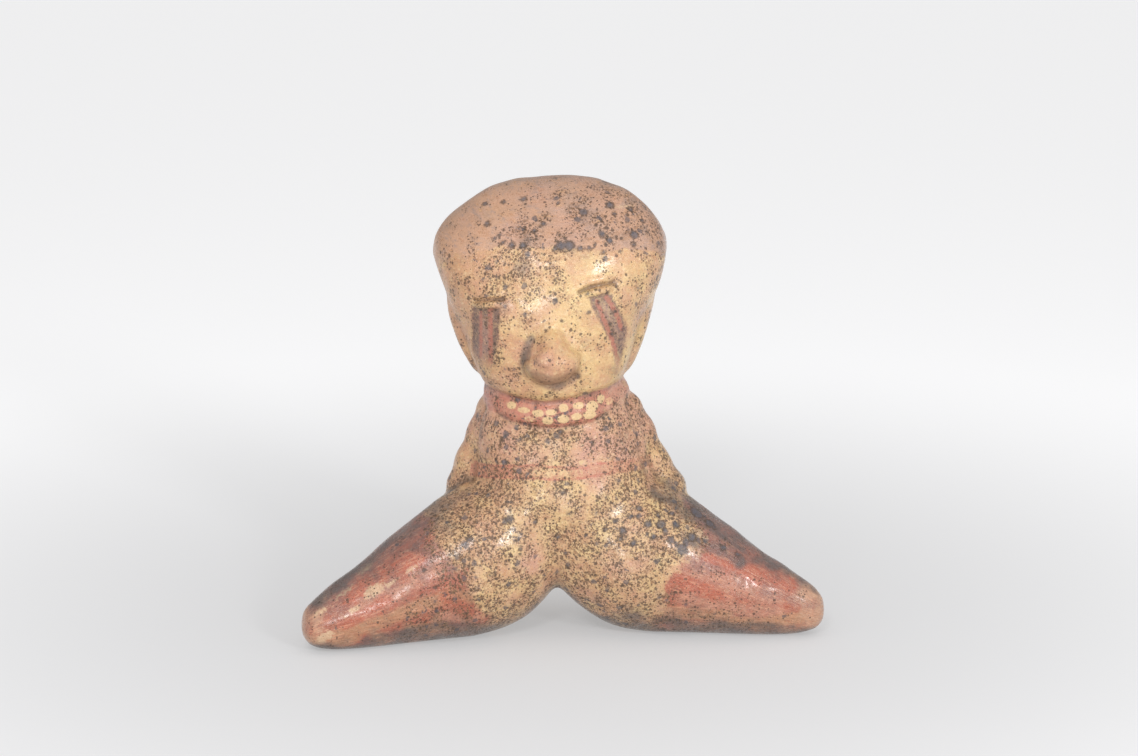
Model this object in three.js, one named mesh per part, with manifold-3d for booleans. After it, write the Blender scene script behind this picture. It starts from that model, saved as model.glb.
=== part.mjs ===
// A seated figure of fired clay, about 195 mm tall: a broad domed head on a short trunk, arms that lie
// close against its sides, and two wide-spread legs that taper to blunt ends without feet. It was built
// up and fired in one piece, so it is one solid. Millimetres, +Z up, the face looks towards -Y.
import * as THREE from "three";
import { mergeVertices } from "three/addons/utils/BufferGeometryUtils.js";
import Module from "manifold-3d";

const wasm = await Module();
wasm.setup();

// The clay's look, for a plain view.
const CLAY_COLOUR = 0xc79a72;
const CLAY_ROUGHNESS = 0.45;

// The legs: one teardrop each, fat at the hip, whose line runs outwards and a little forwards.
const HIPS_MIDDLE = -2; // across, where the two legs meet
const HIP_ACROSS = 14;
const HIP_FORWARD = 4;
const LEG_FORWARD_DEG = { left: 22.5, right: 8 };
const LEG_LENGTH = { left: 99.5, right: 102 };
const LEG_FULLNESS = { left: 1, right: 1.04 };
const LEG_SQUARENESS = 2.15;
const LEG_RINGS = 19;
const LEG_SIDES = 30;
const FOOT_SINK = 0.6; // how far the underside is worn away, which leaves the flats it stands on
// Outwards from the hip, as a share of the leg's length: top, underside, half of its depth.
const LEG_STATIONS = [
  { along: -0.26, top: 50, underside: 38, halfDepth: 7 },
  { along: -0.22, top: 58, underside: 30, halfDepth: 16 },
  { along: -0.14, top: 64, underside: 20, halfDepth: 23 },
  { along: -0.03, top: 68, underside: 10, halfDepth: 27.5 },
  { along: 0.1, top: 68, underside: 2.6, halfDepth: 29.5 },
  { along: 0.24, top: 65, underside: -FOOT_SINK, halfDepth: 29 },
  { along: 0.4, top: 57, underside: -FOOT_SINK, halfDepth: 26 },
  { along: 0.58, top: 45, underside: -FOOT_SINK, halfDepth: 20.5 },
  { along: 0.76, top: 32, underside: -FOOT_SINK, halfDepth: 15 },
  { along: 0.89, top: 24.3, underside: 0.5, halfDepth: 11.5 },
  { along: 0.96, top: 19.8, underside: 3, halfDepth: 8.4 },
  { along: 0.99, top: 16, underside: 6.5, halfDepth: 5 },
];
const LEG_TIP_HEIGHT = 11;

// The seat: a round lobe behind each thigh, which keeps the figure from tipping back.
const SEAT_ACROSS = 32;
const SEAT_BACK = 8.5;
const SEAT_SIZE = { halfWidth: 27, relief: 23.5, halfHeight: 28 };
const SEAT_SIDES = 28;

// The trunk, from between the legs up into the head. It leans a little as it rises.
const TRUNK_SIDES = 40;
const TRUNK_RINGS = 14;
const TRUNK_SQUARENESS = 2.3;
const TRUNK_STATIONS = [
  { height: 30, across: -1, back: 0, halfWidth: 12, front: 13, rear: 12 },
  { height: 36, across: -0.5, back: 0, halfWidth: 27, front: 23, rear: 19 },
  { height: 46, across: 0, back: 0, halfWidth: 40, front: 31, rear: 25.5 },
  { height: 58, across: 1, back: 0, halfWidth: 43, front: 33, rear: 28 },
  { height: 70, across: 1, back: 0, halfWidth: 38.5, front: 30.5, rear: 27.5 },
  { height: 83, across: 0, back: 0, halfWidth: 37, front: 28.5, rear: 27 },
  { height: 94, across: -1, back: 0, halfWidth: 34, front: 27, rear: 26.5 },
  { height: 103, across: -1.6, back: 0, halfWidth: 29.5, front: 24.5, rear: 26 },
  { height: 112, across: -2, back: 0, halfWidth: 27, front: 22, rear: 25 },
];

// The string of beads, a low band round the neck that hangs lower in front.
const NECKLACE_HEIGHT = 102;
const NECKLACE_ACROSS = -1.8;
const NECKLACE_FORWARD = 1.8;
const NECKLACE_HALF_WIDTH = 31.4;
const NECKLACE_HALF_DEPTH = 28.8;
const NECKLACE_TALL = 13;
const NECKLACE_THICK = 6;
const NECKLACE_DROOP_DEG = 13;

// The arms: rolls of clay from the shoulders to the hips, pressed into soft rings.
const ARM_PRESSES = 4;
const ARM_PRESS_SHARE = 0.13; // of the arm's radius
const ARM_STEPS = 24;
const ARM_SIDES = 14;
const ARM_FLATTENING = 1.3; // deeper from front to back than it is wide
const ARM_RADIUS = { shoulder: 7.4, hand: 8.8 };
const ARM_LINES = {
  left: { shoulder: [-26, 1, 102], elbow: [-34, 4, 80], hand: [-44.6, 1, 53] },
  right: { shoulder: [23.5, 1, 102], elbow: [35.6, 4, 80], hand: [49.8, 1, 53] },
};

// The head, from inside the neck to the crown.
const HEAD_SIDES = 44;
const HEAD_RINGS = 22;
const HEAD_SQUARENESS = 2.35;
const CROWN = { height: 194.6, across: -1.4, back: 7 };
const HEAD_STATIONS = [
  { height: 98, across: -3, back: 0, halfWidth: 18, front: 17, rear: 17 },
  { height: 102.5, across: -3, back: 0, halfWidth: 25, front: 26.5, rear: 23 },
  { height: 109, across: -3.4, back: 0, halfWidth: 29.5, front: 32, rear: 27 },
  { height: 120, across: -3.6, back: 0, halfWidth: 34, front: 33.5, rear: 29.5 },
  { height: 135, across: -4, back: 1, halfWidth: 39.5, front: 34, rear: 31.5 },
  { height: 149, across: -4, back: 2, halfWidth: 45.2, front: 34.5, rear: 34 },
  { height: 163, across: -4, back: 3, halfWidth: 49.7, front: 32, rear: 35 },
  { height: 173, across: -3.4, back: 4, halfWidth: 47, front: 28, rear: 33.5 },
  { height: 181.5, across: -2.6, back: 5, halfWidth: 39.6, front: 22, rear: 28.5 },
  { height: 188.8, across: -1.6, back: 6, halfWidth: 29, front: 15, rear: 20.5 },
  { height: 193, across: -1.4, back: 7, halfWidth: 17, front: 8.5, rear: 11.5 },
];

// The ears: flat flaps along the sides of the face, from the temple down to the jaw.
const EARS_MIDDLE = -4; // a little left, as the head is
const EAR_HALF_THICKNESS = 3;
const EAR_HALF_DEPTH = 9;
const EAR_STEPS = 12;
const EAR_SIDES = 12;
const EAR_LINE = [
  [42.8, 3, 150],
  [37.6, 2, 128],
  [29.8, 0, 110.5],
];

// The face: each eye is a slit with a roll of clay for its lower lid. Places are across and up.
const EYES = [
  { across: -29.4, up: 148, tilt: 0 },
  { across: 16.6, up: 153.6, tilt: 10 },
];
const EYE_LENGTH = 13;
const EYE_OPENING = 2;
const EYE_DEPTH = 2.2;
const LID_DROP = 2.4; // below the slit
const LID_THICKNESS = 2.4;
const LID_RELIEF = 1.4;

// The nose, a bulb with a short bridge, in front of the half-moon that hangs from it.
const NOSE_TIP = { across: -2.2, up: 124.6, tilt: -8 };
const NOSE_TOP = { across: -4.2, up: 128, tilt: -6 };
const NOSE_BULB = { halfWidth: 9.4, relief: 7.4, halfHeight: 6.4 };
const NOSE_BRIDGE = { halfWidth: 6, relief: 5.6, halfHeight: 7.6 };
const HALF_MOON = { across: -3.4, up: 121.8, tilt: -14 };
const HALF_MOON_SIZE = { halfWidth: 11.6, relief: 4.6, halfHeight: 8.6 };
const MOUTH = { across: -2.2, up: 111.6, tilt: 2 };
const MOUTH_LENGTH = 14;
const MOUTH_OPENING = 1.6;
const MOUTH_DEPTH = 1.3;

const PEBBLE_SIDES = 14;
const MERGE_DISTANCE = 1e-4;
const WORLD_BOX = 600; // wider than anything here
const UP = new THREE.Vector3(0, 0, 1);
const INWARDS = new THREE.Vector3(0, 1, 0);

// Rows between a table's rows: each named number follows smoothly from one station to the next.
function between(stations, steps) {
  const names = Object.keys(stations[0]);
  const numbers = stations.flatMap((station) => names.map((name) => station[name]));
  const rows = new THREE.CubicInterpolant([...stations.keys()], numbers, names.length);
  return Array.from({ length: steps + 1 }, (unused, i) => {
    const row = rows.evaluate((i * (stations.length - 1)) / steps);
    return Object.fromEntries(names.map((name, k) => [name, row[k]]));
  });
}

// A closed round outline: halfWidth to each side, and its own run to the front (-) and back (+).
// A squareness of 2 is an ellipse, and more is boxier.
function outline(sides, halfWidth, front, back, squareness) {
  const power = 2 / squareness;
  return Array.from({ length: sides }, (unused, j) => {
    const angle = ((j + 0.5) * 2 * Math.PI) / sides;
    const across = Math.cos(angle);
    const along = Math.sin(angle);
    return new THREE.Vector2(
      halfWidth * Math.sign(across) * Math.abs(across) ** power,
      (along < 0 ? front : back) * Math.sign(along) * Math.abs(along) ** power,
    );
  });
}

// A closed skin over a row of rings, which all run right-handed about the way the row goes, drawn
// shut to a point before the first ring and to one after the last.
function skin(rings, startPoint, endPoint) {
  const sides = rings[0].length;
  const points = [...rings.flat(), startPoint, endPoint];
  const start = points.length - 2;
  const end = points.length - 1;
  const last = (rings.length - 1) * sides;
  const faces = [];
  for (let j = 0; j < sides; j++) {
    const k = (j + 1) % sides;
    for (let i = 0; i < last; i += sides) {
      faces.push(i + j, i + k, i + sides + k);
      faces.push(i + j, i + sides + k, i + sides + j);
    }
    faces.push(start, k, j);
    faces.push(end, last + j, last + k);
  }
  return new THREE.BufferGeometry().setFromPoints(points).setIndex(faces);
}

// A geometry as a solid that can be joined and cut.
function solid(geometry) {
  const bare = geometry.clone();
  bare.deleteAttribute("normal");
  bare.deleteAttribute("uv");
  const merged = mergeVertices(bare, MERGE_DISTANCE);
  return new wasm.Manifold(
    new wasm.Mesh({
      numProp: 3,
      vertProperties: merged.attributes.position.array,
      triVerts: new Uint32Array(merged.index.array),
    }),
  );
}

// A solid as a geometry.
function geometryOf(body) {
  const mesh = body.getMesh();
  return new THREE.BufferGeometry()
    .setAttribute("position", new THREE.BufferAttribute(mesh.vertProperties, 3))
    .setIndex(new THREE.BufferAttribute(mesh.triVerts, 1));
}

// A stretched ball: half of its width, of its run into the clay and of its height, turned and placed.
function pebble({ halfWidth, relief, halfHeight }, { turn, place }, sides = PEBBLE_SIDES) {
  return solid(
    new THREE.SphereGeometry(1, sides, sides / 2)
      .scale(halfWidth, relief, halfHeight)
      .applyQuaternion(turn)
      .translate(place.x, place.y, place.z),
  );
}

// One leg: upright ovals along a straight line from inside the hip to the tip.
function makeLeg(name) {
  const side = name === "left" ? -1 : 1;
  const forward = THREE.MathUtils.degToRad(LEG_FORWARD_DEG[name]);
  const outwards = new THREE.Vector3(side * Math.cos(forward), -Math.sin(forward), 0);
  const sideways = new THREE.Vector3().crossVectors(outwards, UP);
  const hip = new THREE.Vector3(HIPS_MIDDLE + side * HIP_ACROSS, -HIP_FORWARD, 0);
  const lineAt = (share) => hip.clone().addScaledVector(outwards, share * LEG_LENGTH[name]);
  const rings = between(LEG_STATIONS, LEG_RINGS).map(({ along, top, underside, halfDepth }) => {
    const fullTop = top * LEG_FULLNESS[name];
    const middle = (fullTop + underside) / 2;
    const halfHeight = (fullTop - underside) / 2;
    return outline(LEG_SIDES, halfHeight, halfDepth, halfDepth, LEG_SQUARENESS).map((p) =>
      lineAt(along)
        .addScaledVector(UP, middle + p.x)
        .addScaledVector(sideways, p.y),
    );
  });
  const first = LEG_STATIONS[0];
  const inside = lineAt(first.along).setZ((first.top + first.underside) / 2);
  return solid(skin(rings, inside, lineAt(1).setZ(LEG_TIP_HEIGHT)));
}

// One lobe of the seat. Side is -1 to the left and 1 to the right.
function makeSeat(side) {
  const across = HIPS_MIDDLE + side * SEAT_ACROSS;
  const place = new THREE.Vector3(across, SEAT_BACK, SEAT_SIZE.halfHeight - FOOT_SINK);
  return pebble(SEAT_SIZE, { turn: new THREE.Quaternion(), place }, SEAT_SIDES);
}

// The place of a station, or of the crown.
function placeOf({ across, back, height }) {
  return new THREE.Vector3(across, back, height);
}

// The rings of a body that stands upright, each about its own place.
function uprightRings(stations, steps, sides, squareness) {
  return between(stations, steps).map((station) =>
    outline(sides, station.halfWidth, station.front, station.rear, squareness).map((p) =>
      placeOf(station).add(new THREE.Vector3(p.x, p.y, 0)),
    ),
  );
}

function makeTrunk() {
  const rings = uprightRings(TRUNK_STATIONS, TRUNK_RINGS, TRUNK_SIDES, TRUNK_SQUARENESS);
  return solid(skin(rings, placeOf(TRUNK_STATIONS[0]), placeOf(TRUNK_STATIONS.at(-1))));
}

function makeNecklace() {
  const halfTall = NECKLACE_TALL / 2;
  const middle = NECKLACE_HALF_WIDTH - NECKLACE_THICK;
  const profile = outline(8, NECKLACE_THICK, halfTall, halfTall, 3).map(
    (p) => new THREE.Vector2(middle + p.x, p.y),
  );
  const band = new THREE.LatheGeometry([...profile, profile[0]], TRUNK_SIDES)
    .rotateX(Math.PI / 2)
    .scale(1, NECKLACE_HALF_DEPTH / NECKLACE_HALF_WIDTH, 1)
    .rotateX(THREE.MathUtils.degToRad(NECKLACE_DROOP_DEG))
    .translate(NECKLACE_ACROSS, -NECKLACE_FORWARD, NECKLACE_HEIGHT);
  return solid(band);
}

// The rings of a roll of clay that hangs down along a curve, each an oval that is deeper than wide.
function rollRings(curve, steps, sides, radiusAt, flattening) {
  return Array.from({ length: steps + 1 }, (unused, i) => {
    const share = i / steps;
    const along = curve.getTangentAt(share);
    const wide = new THREE.Vector3().crossVectors(INWARDS, along).normalize();
    const radius = radiusAt(share);
    return outline(sides, radius, radius * flattening, radius * flattening, 2).map((p) =>
      curve.getPointAt(share).addScaledVector(wide, p.x).addScaledVector(INWARDS, p.y),
    );
  });
}

// How full a roll is along its length, so that both of its ends are rounded.
function roundedEnds(share, bluntness) {
  return Math.sqrt(Math.max(0.05, 1 - Math.abs(2 * share - 1) ** bluntness));
}

function makeArm(name) {
  const { shoulder, elbow, hand } = ARM_LINES[name];
  const curve = new THREE.CatmullRomCurve3(
    [shoulder, elbow, hand].map((place) => new THREE.Vector3(...place)),
  );
  const pressedAt = (share) =>
    1 - ARM_PRESS_SHARE * (1 - Math.abs(Math.sin(Math.PI * ARM_PRESSES * share)));
  const radiusAt = (share) =>
    THREE.MathUtils.lerp(ARM_RADIUS.shoulder, ARM_RADIUS.hand, share) *
    pressedAt(share) *
    roundedEnds(share, 8);
  const rings = rollRings(curve, ARM_STEPS, ARM_SIDES, radiusAt, ARM_FLATTENING);
  return solid(skin(rings, curve.getPointAt(0), curve.getPointAt(1)));
}

function makeHead() {
  const rings = uprightRings(HEAD_STATIONS, HEAD_RINGS, HEAD_SIDES, HEAD_SQUARENESS);
  return solid(skin(rings, placeOf(HEAD_STATIONS[0]), placeOf(CROWN)));
}

function makeEar(side) {
  const curve = new THREE.CatmullRomCurve3(
    EAR_LINE.map(([out, back, up]) => new THREE.Vector3(EARS_MIDDLE + side * out, back, up)),
  );
  const radiusAt = (share) => EAR_HALF_THICKNESS * roundedEnds(share, 4);
  const flattening = EAR_HALF_DEPTH / EAR_HALF_THICKNESS;
  const rings = rollRings(curve, EAR_STEPS, EAR_SIDES, radiusAt, flattening);
  return solid(skin(rings, curve.getPointAt(0), curve.getPointAt(1)));
}

// Finds where a line from straight in front meets the head, and how a thing that lies there is
// turned: its own X runs across, its Y into the clay and its Z up.
function faceFinder(head) {
  const mesh = new THREE.Mesh(geometryOf(head));
  return ({ across, up, tilt = 0 }) => {
    const from = new THREE.Vector3(across, -WORLD_BOX, up);
    const [hit] = new THREE.Raycaster(from, INWARDS).intersectObject(mesh);
    const roll = THREE.MathUtils.degToRad(-tilt);
    const turn = new THREE.Quaternion()
      .setFromUnitVectors(INWARDS, hit.face.normal.clone().negate())
      .multiply(new THREE.Quaternion().setFromAxisAngle(INWARDS, roll));
    return { place: hit.point, turn };
  };
}

// A slit, as the stretched ball that is cut away for it.
function makeSlit(spot, length, opening, depth) {
  return pebble({ halfWidth: length / 2, relief: depth, halfHeight: opening / 2 }, spot);
}

function makeLid(onFace, eye) {
  const size = {
    halfWidth: EYE_LENGTH / 2,
    relief: LID_RELIEF,
    halfHeight: LID_THICKNESS / 2,
  };
  return pebble(size, onFace({ ...eye, up: eye.up - LID_DROP }));
}

function makeFigure() {
  const head = makeHead();
  const onFace = faceFinder(head);
  const added = [
    makeTrunk(),
    makeLeg("left"),
    makeLeg("right"),
    makeSeat(-1),
    makeSeat(1),
    makeArm("left"),
    makeArm("right"),
    makeNecklace(),
    makeEar(-1),
    makeEar(1),
    pebble(HALF_MOON_SIZE, onFace(HALF_MOON)),
    pebble(NOSE_BULB, onFace(NOSE_TIP)),
    pebble(NOSE_BRIDGE, onFace(NOSE_TOP)),
    ...EYES.map((eye) => makeLid(onFace, eye)),
  ];
  const cut = [
    ...EYES.map((eye) => makeSlit(onFace(eye), EYE_LENGTH, EYE_OPENING, EYE_DEPTH)),
    makeSlit(onFace(MOUTH), MOUTH_LENGTH, MOUTH_OPENING, MOUTH_DEPTH),
  ];
  const whole = added.reduce((sum, body) => sum.add(body), head);
  const carved = cut.reduce((sum, body) => sum.subtract(body), whole);
  // What would lie below the table's top is worn away.
  const above = new THREE.BoxGeometry(WORLD_BOX, WORLD_BOX, WORLD_BOX);
  return geometryOf(carved.intersect(solid(above.translate(0, 0, WORLD_BOX / 2))));
}

const clay = new THREE.MeshStandardMaterial({
  color: CLAY_COLOUR,
  roughness: CLAY_ROUGHNESS,
  metalness: 0,
});
const figure = new THREE.Mesh(makeFigure(), clay);
figure.name = "figure";

// The origin is on the table, under the middle of the whole figure.
figure.geometry.computeBoundingBox();
const middle = figure.geometry.boundingBox.getCenter(new THREE.Vector3());
figure.position.set(-middle.x, -middle.y, 0);

const part = new THREE.Group();
part.add(figure);
export default part;
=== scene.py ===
# %% [markdown]
# A seated figure of burnished, slip-painted clay.
#
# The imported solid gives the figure's real size and its main forms. This file turns it into a
# surface: first the clay is smoothed and modelled, then it is painted with slips, and last it is lit.
# Sizes are in millimetres, measured from the point on the table under the trunk, and are turned
# into metres only where Blender's own data is written.

# %% Load the frame
import functools
import math

import bmesh
import bpy
import numpy as np
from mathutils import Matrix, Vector


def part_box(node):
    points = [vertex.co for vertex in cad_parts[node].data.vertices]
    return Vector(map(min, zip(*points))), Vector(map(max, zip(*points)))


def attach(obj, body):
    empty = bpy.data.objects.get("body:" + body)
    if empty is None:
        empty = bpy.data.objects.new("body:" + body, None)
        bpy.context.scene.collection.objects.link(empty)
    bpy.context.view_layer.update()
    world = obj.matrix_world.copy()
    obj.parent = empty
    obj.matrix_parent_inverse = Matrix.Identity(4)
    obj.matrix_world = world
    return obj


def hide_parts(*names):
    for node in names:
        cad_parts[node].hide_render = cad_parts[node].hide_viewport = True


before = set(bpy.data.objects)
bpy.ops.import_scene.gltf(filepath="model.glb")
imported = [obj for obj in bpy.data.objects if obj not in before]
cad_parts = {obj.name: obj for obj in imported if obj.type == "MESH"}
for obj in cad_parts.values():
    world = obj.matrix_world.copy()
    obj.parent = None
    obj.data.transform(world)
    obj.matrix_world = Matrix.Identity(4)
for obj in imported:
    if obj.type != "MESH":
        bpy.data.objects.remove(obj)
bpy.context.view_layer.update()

MM = 0.001
TRUNK_FOOT = np.array([-2.04, 5.28, 0.0])  # in the frame, in mm: where the trunk's middle meets the table
solid_low, solid_high = (np.array(corner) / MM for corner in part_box("figure"))
print("solid from", solid_low.round(1), "to", solid_high.round(1), "mm")

# %% [markdown]
# The camera comes first. A catalogue photographer stands well back with a long lens, so that the
# legs aren't drawn larger than the head, and looks down a little. A target, a distance and two
# angles say that in words a photographer would use, and the place follows from them.

# %% Camera
CAMERA_TARGET = np.array([3.8, 0.0, 108.4])
CAMERA_DISTANCE = 945.0
CAMERA_HEIGHT_DEG = 12.0
CAMERA_LENS, CAMERA_SENSOR = 70.0, 36.0
CAMERA_SEES = (0.01, 50.0)  # from and to, in metres


def in_metres(place):
    """A place in mm from the trunk's foot, as a point of the frame in metres."""
    return Vector((np.asarray(place, float) + TRUNK_FOOT) * MM)


def seen_from(turn_deg, height_deg, distance):
    """The place at that distance from the camera's target. Turn 0 is in front, and more is to the right."""
    turn, height = math.radians(turn_deg), math.radians(height_deg)
    level = math.cos(height)
    away = np.array([math.sin(turn) * level, -math.cos(turn) * level, math.sin(height)])
    return in_metres(CAMERA_TARGET + away * distance)


def stand(name, data, place):
    """Stands a camera or a light at a place of the frame, turned at the camera's target."""
    thing = bpy.data.objects.new(name, data)
    thing.location = place
    thing.rotation_euler = (in_metres(CAMERA_TARGET) - place).to_track_quat("-Z", "Y").to_euler()
    bpy.context.scene.collection.objects.link(thing)
    return thing


camera_data = bpy.data.cameras.new("camera")
camera_data.lens, camera_data.sensor_width = CAMERA_LENS, CAMERA_SENSOR
camera_data.clip_start, camera_data.clip_end = CAMERA_SEES
camera = stand("camera", camera_data, seen_from(0, CAMERA_HEIGHT_DEG, CAMERA_DISTANCE))
bpy.context.scene.camera = camera
print("camera at", [round(x, 3) for x in camera.location])

# %% [markdown]
# The solid is faceted and has hard creases where its lobes meet, as clay never has. Smoothing it
# needs an even mesh, so it is remeshed in small voxels. Then each point moves towards its
# neighbours and a little back again, by turns: that takes out short ripples, such as facets, and
# leaves long forms and the size as they are. Arms and ears are small, so they are smoothed less.

# %% Even mesh
COARSE_VOXEL = 1.5
MERGE = 0.001


def object_of(mesh, name):
    made = bpy.data.objects.new(name, mesh)
    bpy.context.scene.collection.objects.link(made)
    return made


def mesh_of(work, name):
    """Closes a mesh that is being worked on, and gives it a name."""
    mesh = bpy.data.meshes.new(name)
    work.to_mesh(mesh)
    work.free()
    return mesh


def read(things, name, width, kind=np.float32):
    """One value of each point or edge, as rows of that width."""
    flat = np.empty(len(things) * width, kind)
    things.foreach_get(name, flat)
    return flat.reshape(-1, width)


def points_of(mesh):
    """A mesh's points, in mm from the trunk's foot."""
    return read(mesh.vertices, "co", 3).astype(float) / MM - TRUNK_FOOT


def set_points(mesh, places):
    mesh.vertices.foreach_set("co", ((places + TRUNK_FOOT) * MM).astype(np.float32).ravel())
    mesh.update()


def edges_of(mesh):
    return read(mesh.edges, "vertices", 2, np.int64)


def normals_of(mesh):
    return read(mesh.vertices, "normal", 3).astype(float)


def remeshed(mesh, voxel, name):
    """A new mesh of even quads over the same form, with what overlaps fused into one skin."""
    carrier = object_of(mesh, name)
    modifier = carrier.modifiers.new("even", "REMESH")
    modifier.mode = "VOXEL"
    modifier.voxel_size = voxel * MM
    graph = bpy.context.evaluated_depsgraph_get()
    made = bpy.data.meshes.new_from_object(carrier.evaluated_get(graph), depsgraph=graph)
    bpy.data.objects.remove(carrier)
    made.name = name
    return made


def closed_copy(node):
    """A node's mesh with its split corners joined again."""
    work = bmesh.new()
    work.from_mesh(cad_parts[node].data)
    bmesh.ops.remove_doubles(work, verts=work.verts, dist=MERGE * MM)
    return mesh_of(work, node)


rough = remeshed(closed_copy("figure"), COARSE_VOXEL, "rough")
print("rough clay:", len(rough.vertices), "points")

# %% Smoothing
FACET_ROUNDS = 44
PULL, PUSH = 0.6, -0.63
SMALL_FORM_SHARE = 0.3
ARM_LINES = {
    "left": [(-26, 1, 102), (-34, 4, 80), (-44.6, 1, 53)],
    "right": [(23.5, 1, 102), (35.6, 4, 80), (49.8, 1, 53)],
}
EAR_LINES = {
    "left": [(-46.8, 3, 150), (-41.6, 2, 128), (-33.8, 0, 110.5)],
    "right": [(38.8, 3, 150), (33.6, 2, 128), (25.8, 0, 110.5)],
}
ARM_EDGE, EAR_EDGE = (13, 8), (11, 7)  # from the middle line: where the form ends, and where it is whole


def ramp(start, end, value):
    """0 before start, 1 after end, and a smooth rise between them."""
    share = np.clip((value - start) / (end - start), 0, 1)
    return share * share * (3 - 2 * share)


def line_reach(places, line):
    """How far each place is from a line that runs from point to point."""
    line = np.asarray(line, float)
    nearest = np.full(len(places), np.inf)
    for start, stop in zip(line[:-1], line[1:]):
        run = stop - start
        share = np.clip((places - start) @ run / (run @ run), 0, 1)
        reach = np.linalg.norm(places - start - share[:, None] * run, axis=1)
        nearest = np.minimum(nearest, reach)
    return nearest


def neighbour_mean(places, edges):
    first, second = edges.T
    size = len(places)
    count = np.bincount(edges.ravel(), minlength=size)
    total = [
        np.bincount(first, column[second], size) + np.bincount(second, column[first], size)
        for column in places.T
    ]
    return np.stack(total, 1) / count[:, None]


def relaxed(places, edges, rounds, share=1.0, steps=(PULL, PUSH)):
    """Places after that many rounds of smoothing, each point taking its share of the move."""
    share = np.broadcast_to(share, len(places))[:, None]
    for _ in range(rounds):
        for step in steps:
            places = places + step * share * (neighbour_mean(places, edges) - places)
    return places


def small_forms(places):
    """1 on the arms and ears, and 0 away from them."""
    near = np.zeros(len(places))
    for lines, edge in ((ARM_LINES, ARM_EDGE), (EAR_LINES, EAR_EDGE)):
        for line in lines.values():
            near = np.maximum(near, ramp(*edge, line_reach(places, line)))
    return near


places = points_of(rough)
edges = edges_of(rough)
share = 1 - (1 - SMALL_FORM_SHARE) * small_forms(places)
places = relaxed(places, edges, FACET_ROUNDS, share)
print("facets smoothed in", FACET_ROUNDS, "rounds")

# %% [markdown]
# Where the thighs meet the belly the potter wiped the join away, so no line is left between them.
# Plain smoothing, without the push back, does the same there, and hardly anywhere else.

# %% Wiped joins
WIPE_ROUNDS = 36
LAP = {"across": -1.5, "up": 50.0, "half_width": 52.0, "half_height": 26.0}
LAP_EDGE = (1.0, 0.5)  # of that size: where the wiping ends, and where it is whole


def lap_share(places):
    across = (places[:, 0] - LAP["across"]) / LAP["half_width"]
    up = (places[:, 2] - LAP["up"]) / LAP["half_height"]
    return ramp(*LAP_EDGE, np.hypot(across, up))


wipe = lap_share(places) * (1 - small_forms(places))
places = relaxed(places, edges, WIPE_ROUNDS, wipe, steps=(PULL,))
set_points(rough, places)
print("joins wiped on", int((wipe > 0.1).sum()), "points")

# %% [markdown]
# The nose and the half-moon that hangs under it were pressed on as pellets of clay. Each is a ball
# whose points are moved by a rule, which is quick to shape. The second remesh then fuses them with
# the head, and leaves the crease that pressed clay has.

# %% Pellets
PELLET_RINGS = 28
FACE_FRONT = -32.6
FINE_VOXEL = 1.18
# fullness is under 1 where the sides rise more steeply than a ball's, and taper and slope say how
# much narrower and flatter the top is
NOSE = {
    "across": -5.2, "up": 124.6, "half_width": 5.9, "relief": 12.4, "rise": 12.0, "drop": 5.4,
    "tilt": -28, "fullness": 0.85, "taper": 0.45, "slope": 0.55,
}
HALF_MOON = {
    "across": -3.2, "up": 122.0, "half_width": 12.0, "relief": 10.0, "rise": 5.6, "drop": 9.2,
    "tilt": 10, "fullness": 0.9, "taper": 0.0, "slope": 0.0,
}
PELLET_TOP = (-0.35, 1.0)  # of its height: where the taper starts, and where it is whole


def pellet(form):
    """A pellet's mesh: a ball with its own rise and drop, narrower and flatter towards its top."""
    work = bmesh.new()
    bmesh.ops.create_uvsphere(work, u_segments=PELLET_RINGS, v_segments=PELLET_RINGS, radius=1)
    mesh = mesh_of(work, "pellet")
    right, back, up = read(mesh.vertices, "co", 3).astype(float).T
    top = ramp(*PELLET_TOP, up)
    across = right * form["half_width"] * (1 - form["taper"] * top)
    swell = np.sign(back) * abs(back) ** form["fullness"]
    outwards = swell * form["relief"] * (1 - form["slope"] * top)
    up = up * np.where(up > 0, form["rise"], form["drop"])
    tilt = math.radians(form["tilt"])
    turned = np.stack(
        [
            across * math.cos(tilt) - up * math.sin(tilt) + form["across"],
            outwards + FACE_FRONT,
            across * math.sin(tilt) + up * math.cos(tilt) + form["up"],
        ],
        1,
    )
    set_points(mesh, turned)
    return mesh


def joined(meshes):
    work = bmesh.new()
    for mesh in meshes:
        work.from_mesh(mesh)
    return mesh_of(work, "joined")


clay = remeshed(joined([rough, pellet(NOSE), pellet(HALF_MOON)]), FINE_VOXEL, "clay")
print("clay with its pellets:", len(clay.vertices), "points")

# %% [markdown]
# Slits, lids and painted dots are only a millimetre or two wide, too small for this mesh. Halving
# its edges all over would be wasteful, so they are halved only on the front of the face, on the
# necklace and on the belt, where the fine work is.

# %% Finer mesh where the fine work is
FINE_BOXES = (
    {"low": (-38, -60, 109), "high": (30, -14, 156)},
    {"low": (-28, -60, 90), "high": (30, -10, 109)},
    {"low": (-38, -60, 66), "high": (32, -14, 81)},
)
EVENING_ROUNDS = 3


def refine(mesh, boxes):
    """Halves every edge that lies in one of the boxes, and cuts the faces to suit."""
    places = points_of(mesh)
    inside = np.zeros(len(places), bool)
    for box in boxes:
        inside |= ((places > box["low"]) & (places < box["high"])).all(1)
    work = bmesh.new()
    work.from_mesh(mesh)
    chosen = [edge for edge in work.edges if inside[edge.verts[0].index] and inside[edge.verts[1].index]]
    bmesh.ops.subdivide_edges(work, edges=chosen, cuts=1, use_grid_fill=True)
    bmesh.ops.triangulate(work, faces=[face for face in work.faces if len(face.verts) > 4])
    work.to_mesh(mesh)
    work.free()


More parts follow.
